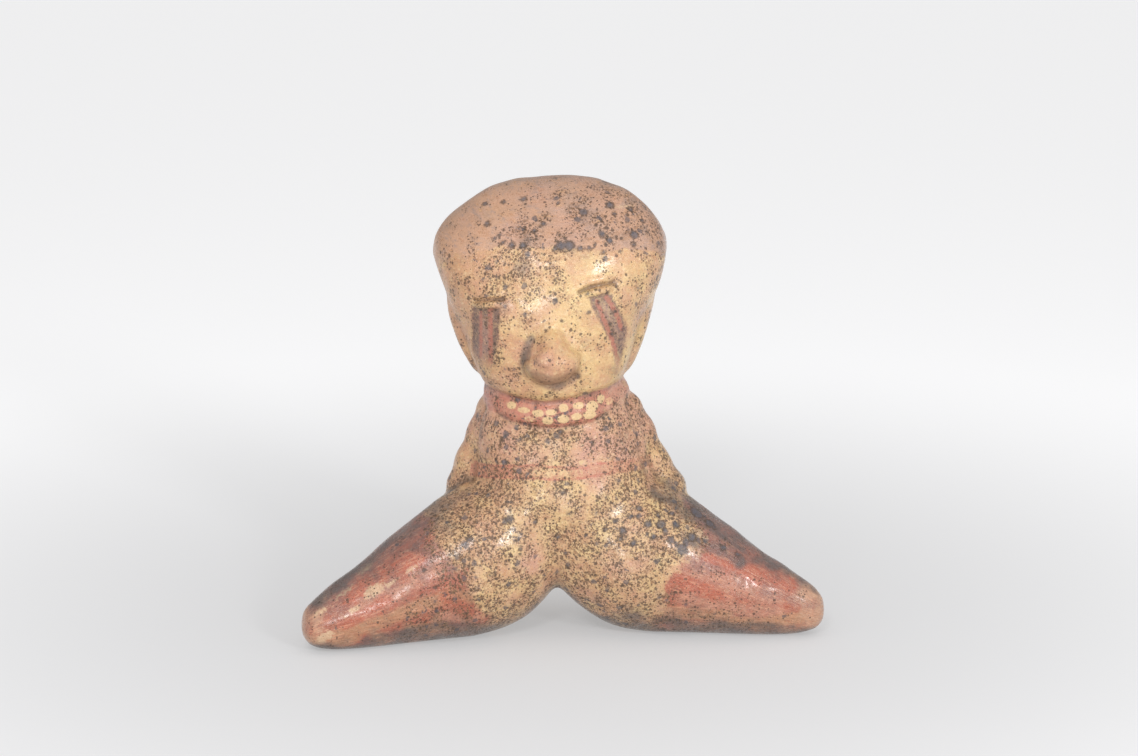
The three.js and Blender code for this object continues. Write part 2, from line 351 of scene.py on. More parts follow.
refine(clay, FINE_BOXES)
edges = edges_of(clay)
places = relaxed(points_of(clay), edges, EVENING_ROUNDS)
set_points(clay, places)
triangles = sum(len(face.vertices) - 2 for face in clay.polygons)
print("refined clay:", len(clay.vertices), "points,", triangles, "triangles")

# %% [markdown]
# Before the clay dried, the potter cut the eyes with a tool, pressed the ear flaps on and smoothed
# the skin with wet fingers. Each mark is a rule for how far a point moves along its normal: a
# groove falls off with the distance from a line, a dent with the distance from a place, and the
# unevenness of the hand is a sum of long, slow waves.

# %% Rules for marks
WAVES = 28


def groove(reach, half_width, depth):
    """How far a groove goes in at that distance from its line. With a depth below 0 it is a roll."""
    return -depth * np.exp(-((reach / half_width) ** 2))


def waves(places, length, seed):
    """An even, random swell, about -1.5 to 1.5, whose waves are all of that length in mm."""
    rng = np.random.default_rng(seed)
    ways = rng.normal(size=(WAVES, 3))
    ways /= np.linalg.norm(ways, axis=1)[:, None]
    phases = rng.uniform(0, 2 * math.pi, WAVES)
    swell = np.zeros(len(places))
    for way, phase in zip(ways, phases):
        swell += np.cos(places @ way * (2 * math.pi / length) + phase)
    return swell / math.sqrt(WAVES / 2)


def inside_outline(flat, corners):
    """How far each flat place is inside a closed outline, and below 0 outside it."""
    corners = np.asarray(corners, float)
    closed = np.vstack([corners, corners[:1]])
    within = np.zeros(len(flat), bool)
    for (x0, z0), (x1, z1) in zip(closed[:-1], closed[1:]):
        crosses = (flat[:, 1] < z0) != (flat[:, 1] < z1)
        at = x0 + (flat[:, 1] - z0) / (z1 - z0 if z1 != z0 else 1) * (x1 - x0)
        within ^= crosses & (flat[:, 0] < at)
    reach = line_reach(flat, closed)
    return np.where(within, reach, -reach)


# %% Model the face, the ears and the skin
EYE_SLITS = {
    "left": [(-35.2, 146.3), (-29.5, 147.4), (-23.2, 148.0)],
    "right": [(8.2, 151.0), (11.6, 152.6), (15.3, 153.6), (19, 154.1), (22.4, 154.4)],
}
EYE_LIDS = {
    "left": [(-34.2, 144.6), (-26.8, 145.7)],
    "right": [(11.2, 150.2), (20.0, 152.0)],
}
EYE_BROWS = {
    "left": [(-33.5, 148.6), (-24.5, 150.0)],
    "right": [(7.2, 152.6), (11.5, 155.0), (19.5, 156.4)],
}
EYE_PANELS = {
    "left": [
        (-36.4, 143.6), (-24.2, 144.6), (-25.2, 132), (-27.2, 121),
        (-29.5, 114), (-34.5, 114), (-36.8, 124),
    ],
    "right": [
        (11.4, 149.0), (20.6, 150.6), (25.0, 142.2), (28.0, 134.2), (27.2, 128.0),
        (25.6, 115.5), (22.9, 119.5), (21.2, 129.2), (17.8, 135.4), (14.2, 143.0),
    ],
}
EAR_CREASE_SHIFT = (2.2, -9.2)  # inwards and forwards from the ear's middle line
ARM_CREASES = {
    "left": [(-33, -8, 97), (-36.3, -9, 84.3), (-37.2, -10, 72.7), (-37.8, -11, 66.3)],
    "right": [(28, -9, 99), (33.0, -12.5, 86), (34.0, -14.5, 77.6), (37.5, -13.0, 68.4)],
}
PIT = (5.6, 115.6)
CHIN_LINE = [
    (-31, 108.2), (-22.4, 106.0), (-14.1, 104.0), (-5.7, 103.6),
    (5.5, 105.2), (15.6, 107.8), (25, 109.6),
]
BAND_LINE = [
    (-27, 97.4), (-19.6, 94.6), (-12.7, 93.4), (-4.9, 92.8),
    (2.6, 93.5), (8.8, 94.0), (14.2, 94.8), (20, 98),
]
NOSE_EDGES = (
    [(-11.6, 131), (-13.4, 127.0), (-14.2, 122.0), (-12.4, 117.2)],
    [(-10.6, 115.2), (-4.1, 112.6), (2.4, 113.4), (6.4, 116.2)],
)
# half of the width, and the depth
SLIT_CUT, LID_CUT, BROW_CUT = (0.8, 1.5), (1.3, -0.9), (1.9, -0.5)
PIT_CUT, CHIN_CUT, BAND_CUT = (1.5, 0.9), (1.4, 0.8), (1.3, 0.8)
NOSE_CUTS = ((1.3, 0.3), (1.3, 0.6))
EAR_CUT, ARM_CUT = (1.6, 1.0), (1.9, 1.0)
PANEL_DEPTH, PANEL_RIM = 0.4, (-0.6, 0.9)
FRONT_EDGE = (0.15, 0.5)  # how far forwards the skin looks, where the front starts and is whole
# height and length of the waves
BROAD_SWELL, NARROW_SWELL, DENTS = (0.26, 26.0), (0.07, 11.0), (0.12, 7.0)
DENTS_FROM = 1.1  # only the lowest part of those waves makes a dent
FLATS_EDGE = (0.4, 4.0)  # mm above the table: the worn flats stay flat


def front_share(normals):
    """1 where the skin looks forwards, and 0 where it looks to the side or back."""
    return ramp(*FRONT_EDGE, -normals[:, 1])


def ear_crease(name):
    side = -1 if name == "left" else 1
    inwards, forwards = EAR_CREASE_SHIFT
    return np.array(EAR_LINES[name]) + (-side * inwards, forwards, 0)


def face_marks(flat):
    marks = np.zeros(len(flat))
    for name in EYE_SLITS:
        marks += groove(line_reach(flat, EYE_SLITS[name]), *SLIT_CUT)
        marks += groove(line_reach(flat, EYE_LIDS[name]), *LID_CUT)
        marks += groove(line_reach(flat, EYE_BROWS[name]), *BROW_CUT)
        marks -= PANEL_DEPTH * ramp(*PANEL_RIM, inside_outline(flat, EYE_PANELS[name]))
    marks += groove(np.hypot(*(flat - PIT).T), *PIT_CUT)
    for line, cut in zip((*NOSE_EDGES, CHIN_LINE, BAND_LINE), (*NOSE_CUTS, CHIN_CUT, BAND_CUT)):
        marks += groove(line_reach(flat, line), *cut)
    return marks


def pressed_marks(places):
    marks = np.zeros(len(places))
    for name in ("left", "right"):
        marks += groove(line_reach(places, ear_crease(name)), *EAR_CUT)
        marks += groove(line_reach(places, ARM_CREASES[name]), *ARM_CUT)
    return marks


def hand_marks(places):
    """The slow swell and the small dents of a skin that was shaped and smoothed by hand."""
    marks = np.zeros(len(places))
    for (high, length), seed in ((BROAD_SWELL, 11), (NARROW_SWELL, 13)):
        marks += high * waves(places, length, seed)
    deep, length = DENTS
    return marks + deep * np.minimum(0, waves(places, length, seed=12) + DENTS_FROM)


normals = normals_of(clay)
relief = face_marks(places[:, [0, 2]]) * front_share(normals) + pressed_marks(places) + hand_marks(places)
relief *= ramp(*FLATS_EDGE, places[:, 2])
places = places + relief[:, None] * normals
places = np.clip(places, solid_low - TRUNK_FOOT, solid_high - TRUNK_FOOT)
set_points(clay, places)
normals = normals_of(clay)
print("relief from", relief.min().round(2), "to", relief.max().round(2), "mm")

# %% [markdown]
# Painting is planned on the mesh and finished in the shader. On the mesh, each painted area is kept
# as a number for each point: how far in mm the point lies inside the area. Such a number changes
# evenly from point to point, so the shader can draw a sharp or a ragged edge between two points,
# which a colour kept on the mesh couldn't. Soft things, such as stains, are kept as shares from 0
# to 1 instead. Around the head and trunk, heights are given for turns: 0 is the front, and 90 is
# the right.

# %% Helpers for painted areas
HEAD_MIDDLE, TRUNK_MIDDLE = (-4.0, 3.0), (-1.5, 0.0)
OUTSIDE = -9.0  # mm, for what lies nowhere near an area
PROBE, PROBE_SLACK = 1.5, 0.5  # how wide round a place the front of the clay is looked for
SMEAR_CORE, BLOB_CORE = 0.3, 0.4  # the share of a soft mark's reach over which it is whole; such marks are stains, tones and painted shade
FAR_WEIGHT = 1e-9  # what lies far from every place of a table is a mixture of them all

front = front_share(normals)
flat = places[:, [0, 2]]
height = places[:, 2]
sideways = abs(places[:, 0])


def turn_about(middle):
    return np.degrees(np.arctan2(places[:, 0] - middle[0], middle[1] - places[:, 1]))


def height_at(turns, table):
    """The height that a table of (turn, height) gives for each turn."""
    at, heights = np.array(table, float).T
    return np.interp(turns, at, heights, period=360)


def uneven(high, length, seed):
    return high * waves(places, length, seed)


def on_front(inside):
    return np.where(front > 0, inside, OUTSIDE)


def spot_reach(across, up):
    """How far each point is from the place where a line from straight in front meets the clay."""
    off = np.hypot(flat[:, 0] - across, flat[:, 1] - up)
    near = np.nonzero(off < max(PROBE, off.min() + PROBE_SLACK))[0]
    place = places[near[np.argmin(places[near, 1])]]
    return np.linalg.norm(places - place, axis=1)


def blob(across, up, radius):
    """A soft round mark, from 1 in its middle to 0 at its radius, round a place on the front: for stains,
    tones and painted shade.
    """
    return ramp(radius, radius * BLOB_CORE, spot_reach(across, up))


def smear(line, half_width):
    """A soft mark along a line on the front, for stains, tones and painted shade."""
    return ramp(half_width, half_width * SMEAR_CORE, line_reach(flat, line)) * front


def strongest(smears):
    return np.max([smear(line, half_width) for line, half_width in smears], axis=0)


def mixture(table):
    """What a table says at each point: a mixture of its nearest places, by their across, up and reach."""
    table = np.array(table, float)
    weights = [np.exp(-(((flat - row[:2]) / row[2]) ** 2).sum(1)) + FAR_WEIGHT for row in table]
    weights = np.stack(weights, 1)
    return (weights @ table[:, 3:]) / weights.sum(1)[:, None]


def keep(name, values):
    """Stores one number for each point of the clay, under a name that the shader reads."""
    layer = clay.attributes.new(name, "FLOAT", "POINT")
    layer.data.foreach_set("value", np.asarray(values, np.float32))
    print(f"{name}: {np.min(values):.2f} to {np.max(values):.2f}")


def keep_area(name, inside):
    """Stores how far inside an area each point lies."""
    keep(name, np.clip(inside, OUTSIDE, -OUTSIDE))


head_turn, trunk_turn = turn_about(HEAD_MIDDLE), turn_about(TRUNK_MIDDLE)

# %% Hair, necklace and belt
HAIRLINE = [
    (-180, 144), (-140, 148), (-100, 155), (-73, 161.0), (-60, 164.0), (-47, 167.2), (-30, 168.2),
    (8, 168.4), (25, 168.4), (36, 167.6), (59, 166.6), (76, 162.4), (100, 156), (140, 148),
]
WIPED_TURNS = ((-46, -62), (-150, -110))  # between them the edge is wiped soft
WIPED_SHARE = 0.8
NECKLACE_LOW = [
    (-90, 101), (-49, 96.3), (-36, 94.3), (-21, 93.3), (-6, 92.8), (9, 93.7),
    (33, 95), (43, 98.2), (60, 102.3), (90, 104), (180, 104),
]
NECKLACE_HIGH = [
    (-90, 110), (-66, 108.6), (-40, 106.6), (-8, 104.6),
    (15, 106), (34, 108.4), (66, 109.8), (180, 112),
]
BELT_LOW = [
    (-180, 70), (-76, 68.2), (-36, 71.3), (-15, 71.8), (2, 71.3),
    (19, 72), (36, 73.2), (55, 73.4), (90, 71),
]
BELT_HIGH = [
    (-180, 75.5), (-76, 73.4), (-36, 76.4), (-15, 77.2), (6, 76.3),
    (22, 76.2), (32, 77.8), (55, 77.3), (90, 76),
]
BELT_LINE_HALF = 0.55


def in_band(low, high):
    """How far inside a band round the trunk each point is, by the heights of its two edges."""
    return np.minimum(height - low, high - height)


hair = height - height_at(head_turn, HAIRLINE) + uneven(high=0.6, length=9.0, seed=21)
hair *= 1 - WIPED_SHARE * ramp(*WIPED_TURNS[0], head_turn) * ramp(*WIPED_TURNS[1], head_turn)
keep_area("hair", hair)
keep_area("necklace", in_band(height_at(trunk_turn, NECKLACE_LOW), height_at(trunk_turn, NECKLACE_HIGH)))

on_trunk = 1 - small_forms(places)
belt_low, belt_high = height_at(trunk_turn, BELT_LOW), height_at(trunk_turn, BELT_HIGH)
belt_lines = BELT_LINE_HALF - np.minimum(abs(height - belt_low), abs(height - belt_high))
for name, inside in (("belt", in_band(belt_low, belt_high)), ("belt_lines", belt_lines)):
    keep_area(name, np.where(on_trunk > 0.5, inside, OUTSIDE))

# %% Beads
# across, up, half of the width, half of the height, and how much of the bead is left
BEADS = (
    (-20.1, 101.9, 2.3, 1.6, 0.75), (-15.0, 100.4, 2.7, 1.3, 0.65), (-9.0, 99.6, 2.7, 1.6, 1.0),
    (-3.7, 100.1, 2.5, 1.3, 0.9), (1.5, 101.8, 2.2, 1.8, 1.0), (7.7, 102.5, 2.4, 1.6, 1.0),
    (13.4, 101.8, 2.7, 2.4, 1.0), (17.0, 104.4, 1.7, 2.1, 1.0), (20.6, 102.9, 1.6, 1.5, 0.5),
    (-18.3, 96.9, 2.4, 1.3, 0.4), (-12.4, 96.8, 2.6, 1.3, 0.5), (-5.0, 96.6, 2.6, 2.0, 1.0),
    (1.4, 97.3, 2.8, 2.1, 1.0), (6.9, 98.1, 2.3, 1.7, 1.0), (12.4, 98.4, 3.0, 2.0, 1.0),
    (18.4, 99.8, 2.2, 1.6, 0.35), (-3.8, 74.1, 2.1, 1.8, 0.54), (1.4, 73.9, 2.3, 1.7, 0.54),
    (7.8, 74.3, 1.9, 1.4, 0.46), (-9.6, 74.0, 1.8, 1.4, 0.4), (-1.6, 78.0, 1.9, 1.1, 0.6),
    (9.6, 78.4, 2.0, 1.3, 0.56),
)
BEAD_SHARE = 0.92  # of a bead's size is left where its edge is worn
HIDDEN_BEAD_TURNS = range(80, 290, 24)  # of the beads that go on round the sides and back
HIDDEN_BEAD = (2.3, 1.6, 0.45)  # half of the width, half of the height, how much is left
HIDDEN_BEAD_UP = 3.5  # from the necklace's lower edge
HIDDEN_BEAD_ARC = 45  # degrees: no bead reaches further round than that


def bead_fields():
    """How far inside the nearest bead each point is, and how much of that bead is left."""
    inside, left = np.full(len(places), OUTSIDE), np.zeros(len(places))

    def paint(across, up, half_width, half_height, share, where):
        nonlocal inside, left
        reach = np.hypot(across / half_width, up / half_height)
        own = np.where(where, (BEAD_SHARE - reach) * min(half_width, half_height), OUTSIDE)
        left = np.where(own > inside, share, left)
        inside = np.maximum(inside, own)

    for across, up, *bead in BEADS:
        paint(flat[:, 0] - across, flat[:, 1] - up, *bead, front > 0)
    for turn in HIDDEN_BEAD_TURNS:
        gap = (trunk_turn - turn + 180) % 360 - 180
        up = height - height_at(np.array([turn]), NECKLACE_LOW)[0] - HIDDEN_BEAD_UP
        paint(np.radians(gap) * trunk_radius, up, *HIDDEN_BEAD, abs(gap) < HIDDEN_BEAD_ARC)
    return inside, left


trunk_radius = np.hypot(*(places[:, :2] - TRUNK_MIDDLE).T)
beads, beads_left = bead_fields()
keep_area("beads", beads)
keep("beads_left", beads_left)

# %% Eyes
EYE_STRIPES = (
    ([(-32.5, 141.5), (-32.9, 122)], 0.65),
    ([(-28.6, 143.4), (-28.6, 119)], 0.95),
    ([(15.2, 147.0), (18.4, 138.6), (21.4, 131.0), (23.6, 122), (24.6, 116)], 0.85),
    ([(19.2, 148.4), (23.0, 142.0), (25.6, 134.4)], 0.9),
)
PANEL_FADE = (116.0, 126.0)

panels = np.maximum(*(inside_outline(flat, outline) for outline in EYE_PANELS.values()))
stripes = np.max([half - line_reach(flat, line) for line, half in EYE_STRIPES], axis=0)
keep_area("eye_panels", on_front(panels))
keep_area("eye_stripes", on_front(stripes))
keep("eye_paint_left", ramp(*PANEL_FADE, height))

# %% Red legs
# height, and how far across the red starts there
RED_STARTS = {
    "left": [
        (8, -30), (16.4, -32.3), (22.4, -34.3), (29.6, -38.6),
        (36.9, -40.6), (43.8, -45.7), (54.6, -56),
    ],
    "right": [
        (8, 39), (12.8, 40.1), (18.5, 42.4), (25.9, 45.3),
        (34.3, 48.2), (39.9, 54.9), (45.2, 55.8), (56, 54),
    ],
}
RED_LEAN = 0.8  # the edge runs aslant, so it is nearer than its distance across
RED_BELOW = 70


def red_reach(name):
    side = -1 if name == "left" else 1
    heights, across = np.array(RED_STARTS[name]).T
    return side * RED_LEAN * (places[:, 0] - np.interp(height, heights, across))


red = np.maximum(red_reach("left"), red_reach("right")) + uneven(high=1.2, length=14.0, seed=22)
keep_area("red", np.where(height < RED_BELOW, red, OUTSIDE))

# how far sideways, and the height of the leg's top there
LEG_TOP_LINE = [(0, 68), (24, 67), (40, 62), (56, 50), (75, 37), (90, 27.5), (100, 21), (112, 13)]
VERMILION = (
    ([(-52, 52), (-60, 45), (-68, 38.5), (-77, 31.8), (-88, 24)], 4.2),
    ([(-47, 24), (-38, 17)], 5.0),
    ([(-72, 24), (-88, 14)], 3.4),
    ([(76, 35.5), (84.7, 31.4), (90.3, 28.2), (97, 23.5)], 5.5),
    ([(50, 29), (58, 26), (66, 22)], 4.6),
    ([(62, 38), (72, 34), (84, 27)], 3.0),
    ([(-58, 40), (-66, 34)], 4.0),
)
OCHRE_STRIPES = (
    ([(-92, 8.5), (-83.4, 11.8), (-72.2, 15.4), (-57.7, 21.0), (-46, 25.0), (-38, 24)], 4.6),
    ([(44, 15), (56, 13), (70, 12)], 4.4),
    ([(-62, 10), (-48, 9)], 4.4),
    ([(-108, 6), (-96, 6), (-86, 8)], 4.4),
    ([(70, 9), (86, 8), (102, 10)], 4.4),
)
# paler, dusty red: partly worn slip and partly painted sheen along the legs' lit ridges
DUSTY_SHEEN = (
    ([(-47, 41), (-56, 35.5), (-68, 28), (-82, 20)], 6.0),
    ([(-36, 14), (-50, 15)], 4.0),
    ([(54, 34), (66, 28), (80, 23), (92, 18)], 5.0),
    ([(54, 20), (72, 15), (92, 12)], 6.5),
)
TOP_TONE, UNDER_TONE = (0.62, 0.86), (0.36, 0.12)  # of the leg's height: where each starts and is whole

leg_top = np.interp(sideways, *np.array(LEG_TOP_LINE, float).T)
leg_up = height / leg_top + uneven(high=0.06, length=11.0, seed=27)
keep("leg_top", ramp(*TOP_TONE, leg_up))
keep("leg_under", ramp(*UNDER_TONE, leg_up))
for name, smears in (("vermilion", VERMILION), ("ochre_stripe", OCHRE_STRIPES), ("dusty_sheen", DUSTY_SHEEN)):
    keep(name, strongest(smears))

# %% Wear
# across, up, and half of the run along the leg and across it
BARE_PATCHES = (
    (-77.4, 27.4, 4.2, 1.9), (-70.5, 30.2, 2.8, 0.8), (-85.5, 20.0, 2.2, 1.0),
    (-90.0, 17.0, 1.4, 0.7), (-97.5, 8.6, 4.4, 1.8), (-89.0, 26.5, 2.6, 0.6),
    (-99.0, 19.0, 2.4, 0.7), (-81.5, 34.2, 2.2, 0.6), (-62.0, 36.0, 2.2, 0.5),
    (58.4, 47.2, 2.3, 1.6), (60.6, 44.6, 1.5, 1.2), (-18.6, 73.6, 0.5, 1.6),
    (27.0, 183.5, 2.6, 0.4),
)
TIP_TONE = (94.0, 108.0)  # mm from the trunk, where the slip gives way to worn clay
LEG_SLOPE_DEG = 33.0
SLOPED_BELOW = 40


def bare_field():
    inside = np.full(len(places), OUTSIDE)
    for across, up, half_run, half_width in BARE_PATCHES:
        slope = math.radians(LEG_SLOPE_DEG * -np.sign(across)) if up < SLOPED_BELOW else 0.0
        right, above = flat[:, 0] - across, flat[:, 1] - up
        run = right * math.cos(slope) + above * math.sin(slope)
        aside = above * math.cos(slope) - right * math.sin(slope)
        reach = np.hypot(run / half_run, aside / half_width)
        inside = np.maximum(inside, (1 - reach) * min(half_run, half_width))
    return inside


keep_area("bare", on_front(bare_field()))
keep("tips", ramp(*TIP_TONE, sideways + uneven(high=3.0, length=10.0, seed=28)))

# %% Smoke, soil and painted shade
# a line, half of the stain's width, and how strong it is. The first five are smoke on the upper legs; the
# last two are painted shade, with some stain, along the legs' lower edges
SMOKE_AND_SHADE_LINES = (
    ([(-40, 65), (-48, 61), (-60, 53), (-72, 44), (-86, 33.5), (-98, 25.5)], 4.6, 0.85),
    ([(-66, 38.5), (-76, 31)], 1.6, 0.4),
    ([(42, 64), (52, 59), (60, 54)], 6.0, 0.85),
    ([(58, 55), (66, 49), (76, 41), (84, 35)], 4.6, 0.7),
    ([(53, 47), (60, 43.5), (70, 38.5), (76, 35)], 4.6, 0.66),
    ([(-80, 6), (-66, 8), (-50, 11), (-38, 9)], 4.2, 0.62),
    ([(40, 9), (60, 7), (84, 6), (98, 5)], 4.0, 0.62),
)
# the same, for painted shade, with some dirt, in what was cut: the eye slits, and the creases by the nose,
# under the chin and under the necklace
CUT_SHADE_LINES = (
    (EYE_SLITS["left"], 1.5, 0.5),
    (EYE_SLITS["right"], 1.7, 0.5),
    (NOSE_EDGES[0], 3.6, 0.5),
    (NOSE_EDGES[1], 3.8, 0.42),
    ([(-9.6, 119.0), (-4.4, 117.6), (1.6, 118.6), (4.4, 121.6)], 1.4, 0.36),
    (CHIN_LINE, 1.7, 0.42),
    (BAND_LINE, 1.4, 0.36),
)
# from a pressed crease: where the painted shade in it starts, and where it is whole
ARM_SHADE_REACH, EAR_SHADE_REACH = (2.6, 0.8), (2.4, 0.6)
ARM_CREASE_SHADE, EAR_CREASE_SHADE = 0.35, {"left": 0.3, "right": 0.55}
# across, up, radius, and how strong it is. Most are smoke clouds; some are painted shade, such as those
# under the nose and on both sides of the chest
SMOKE_AND_SHADE_SPOTS = (
    (6.4, 116.8, 2.2, 0.6), (-38.0, 58.5, 9.0, 0.3), (-15.5, 163.5, 6.5, 0.4),
    (-12.0, 160.0, 4.0, 0.3), (2.0, 170.8, 7.0, 0.42), (-17.0, 171.5, 7.0, 0.34),
    (8.0, 183.0, 7.0, 0.32), (30.0, 172.0, 6.0, 0.32), (37.0, 141.0, 7.0, 0.3),
    (24.0, 116.0, 4.5, 0.35), (27.0, 90.0, 8.0, 0.3), (-24.0, 90.0, 8.0, 0.26),
    (-2.0, 114.6, 8.0, 0.2),
)
# how strong the smoke is where the skin looks up, and the painted shade where it looks down, how far it
# looks so, and where that is
TOPS_STAIN, TOPS_LOOK, TOPS_FROM, TOPS_BELOW = 0.7, (0.45, 0.85), (36.0, 50.0), 67.0
UNDERS_SHADE, UNDERS_SHADE_LOOK, UNDERS_SHADE_BELOW = 0.75, (-0.3, -0.85), 24

looks_up = normals[:, 2]
tops = ramp(*TOPS_LOOK, looks_up) * ramp(*TOPS_FROM, sideways) * (height < TOPS_BELOW)
# painted shade: the low parts that look down, towards the table, are darkened
shaded_unders = ramp(*UNDERS_SHADE_LOOK, looks_up) * (height < UNDERS_SHADE_BELOW)
# besides smoke, this layer holds painted shade: under things, in cuts and creases, and along the legs'
# lower edges
stains_and_shade = [TOPS_STAIN * tops, UNDERS_SHADE * shaded_unders]
stains_and_shade += [share * smear(line, half) * on_trunk for line, half, share in SMOKE_AND_SHADE_LINES]
stains_and_shade += [share * smear(line, half) for line, half, share in CUT_SHADE_LINES]
stains_and_shade += [share * blob(across, up, radius) for across, up, radius, share in SMOKE_AND_SHADE_SPOTS]
# painted shade in the creases beside the arms and behind the ear flaps
for name, line in ARM_CREASES.items():
    stains_and_shade.append(ARM_CREASE_SHADE * ramp(*ARM_SHADE_REACH, line_reach(places, line)))
    stains_and_shade.append(EAR_CREASE_SHADE[name] * ramp(*EAR_SHADE_REACH, line_reach(places, ear_crease(name))))
keep("smoke_and_shade", np.clip(np.max(stains_and_shade, axis=0) + uneven(high=0.12, length=12.0, seed=23), 0, 1))

SOIL_ROUNDS, SOIL_PULL = 14, 0.5
SOIL_DEPTH, RUBBED_HEIGHT = (0.12, 0.6), (0.1, 0.45)  # below and above the skin around
# painted shade, with some stain, under the nose, where the half-moon looks down; it is kept with the soil
# in the hollows
SHADE_UNDER_NOSE = [(-9.6, 117.4), (-5.0, 115.2), (1.0, 115.4), (5.6, 117.8)]
SHADE_UNDER_NOSE_HALF = 4.2

levelled = relaxed(places, edges, SOIL_ROUNDS, steps=(SOIL_PULL,))
sunk = np.sum((levelled - places) * normals, axis=1)
keep("soil_and_shade", np.maximum(ramp(*SOIL_DEPTH, sunk), smear(SHADE_UNDER_NOSE, SHADE_UNDER_NOSE_HALF)))
keep("rubbed", ramp(*RUBBED_HEIGHT, -sunk))

# %% Polish
# across, up, reach, and how glossy the slip is there
POLISH = (
    (-8, 148, 13, 1.0), (18, 160, 16, 1.0), (-42, 150, 10, 0.3), (0, 182, 30, 0.35),
    (-3, 121, 9, 0.4), (0, 134, 9, 0.3), (20, 126, 10, 0.3), (-20, 126, 10, 0.2),
    (0, 100, 10, 0.35), (0, 84, 16, 0.25), (-28, 80, 10, 0.25), (28, 80, 10, 0.25),
    (0, 62, 8, 0.4), (-24, 46, 18, 1.0), (30, 42, 18, 0.9), (-66, 30, 26, 0.8),
    (80, 26, 26, 1.0),
)

keep("polish", mixture(POLISH)[:, 0])

# %% Blots
# across, up and radius of the largest dark blots
BLOTS = (
    (-32.4, 185.2, 1.7), (-24.1, 186.2, 1.6), (-16.0, 187.6, 1.9), (-1.6, 186.5, 1.2),
    (21.7, 184.9, 2.4), (30.3, 183.4, 1.8), (23.7, 181.9, 1.6), (10.5, 183.0, 2.6),
    (35.3, 178.2, 1.5), (-30.7, 178.3, 1.8), (-6.8, 179.0, 1.5), (-11.2, 176.0, 1.6),
    (-15.8, 176.4, 1.3), (17.8, 175.1, 2.1), (31.4, 173.6, 2.6), (31.2, 169.8, 1.5),
    (21.5, 172.0, 1.9), (14.6, 171.0, 1.2), (-0.6, 170.6, 2.6), (4.4, 170.2, 2.9),
    (8.6, 169.4, 1.7), (-3.4, 168.7, 1.7), (-15.9, 170.3, 2.0), (-20.4, 170.6, 1.9),
    (-23.6, 171.4, 1.4), (12.7, 169.0, 1.5), (18.8, 167.2, 1.3), (26.3, 167.0, 1.0),
    (-27.9, 172.7, 1.2), (-25.4, 174.6, 1.1), (12.2, 151.3, 1.1), (17.7, 152.2, 0.9),
    (20.8, 149.6, 1.2), (17.3, 146.1, 1.1), (13.1, 143.3, 1.2), (24.0, 142.1, 1.2),
    (27.4, 134.1, 1.1), (22.2, 136.4, 0.9), (23.2, 132.0, 1.1), (1.5, 140.5, 0.9),
    (-6.2, 136.8, 1.0), (8.2, 115.0, 1.3), (-20.4, 55.6, 2.4), (-16.3, 47.6, 1.3),
    (0.0, 66.0, 1.5), (-9.3, 54.6, 1.5), (3.2, 58.2, 1.2), (-0.4, 45.3, 1.6),
    (9.7, 47.0, 1.2), (1.3, 39.6, 1.4), (-15.5, 43.2, 1.4), (-38.0, 49.0, 1.8),
    (27.2, 50.5, 2.2), (23.0, 55.0, 1.6), (19.0, 52.0, 1.3), (30.0, 56.6, 1.7),
    (26.0, 47.0, 1.3), (39.0, 49.0, 1.8), (41.0, 57.0, 1.6), (45.0, 50.4, 1.8),
    (50.0, 52.0, 2.3), (48.0, 56.4, 1.9), (33.6, 59.6, 2.0), (31.0, 46.5, 2.0),
    (37.0, 53.6, 2.3), (43.0, 53.0, 2.7), (47.5, 47.0, 2.2), (52.0, 43.0, 3.3),
    (56.0, 47.0, 2.6), (59.0, 54.6, 4.2), (64.0, 51.0, 3.0), (70.0, 41.6, 2.0),
    (75.6, 38.6, 1.7), (-24.5, 78.3, 1.9), (-28.0, 77.6, 1.3), (0.9, 90.5, 1.6),
    (-16.7, 89.1, 1.3), (-24.0, 88.4, 1.5), (13.8, 87.1, 1.1), (19.7, 87.1, 0.9),
    (22.5, 93.0, 1.4), (-50.6, 29.4, 1.0), (-56.6, 26.2, 0.9), (-51.0, 22.6, 1.1),
    (-57.0, 37.0, 1.2),
)
BLOT_SHARE = 0.85  # of the radius, because the shader draws the edge ragged

blots = [BLOT_SHARE * radius - spot_reach(across, up) for across, up, radius in BLOTS]
keep_area("blots", np.max(blots, axis=0))

# %% [markdown]
# Specks of manganese cover the whole figure, but not evenly, and the cream slip turns to ochre or
# rose in places. A few places on the front each say how much there is of each there, and how far
# they reach. Everywhere else is a mixture of the nearest places.

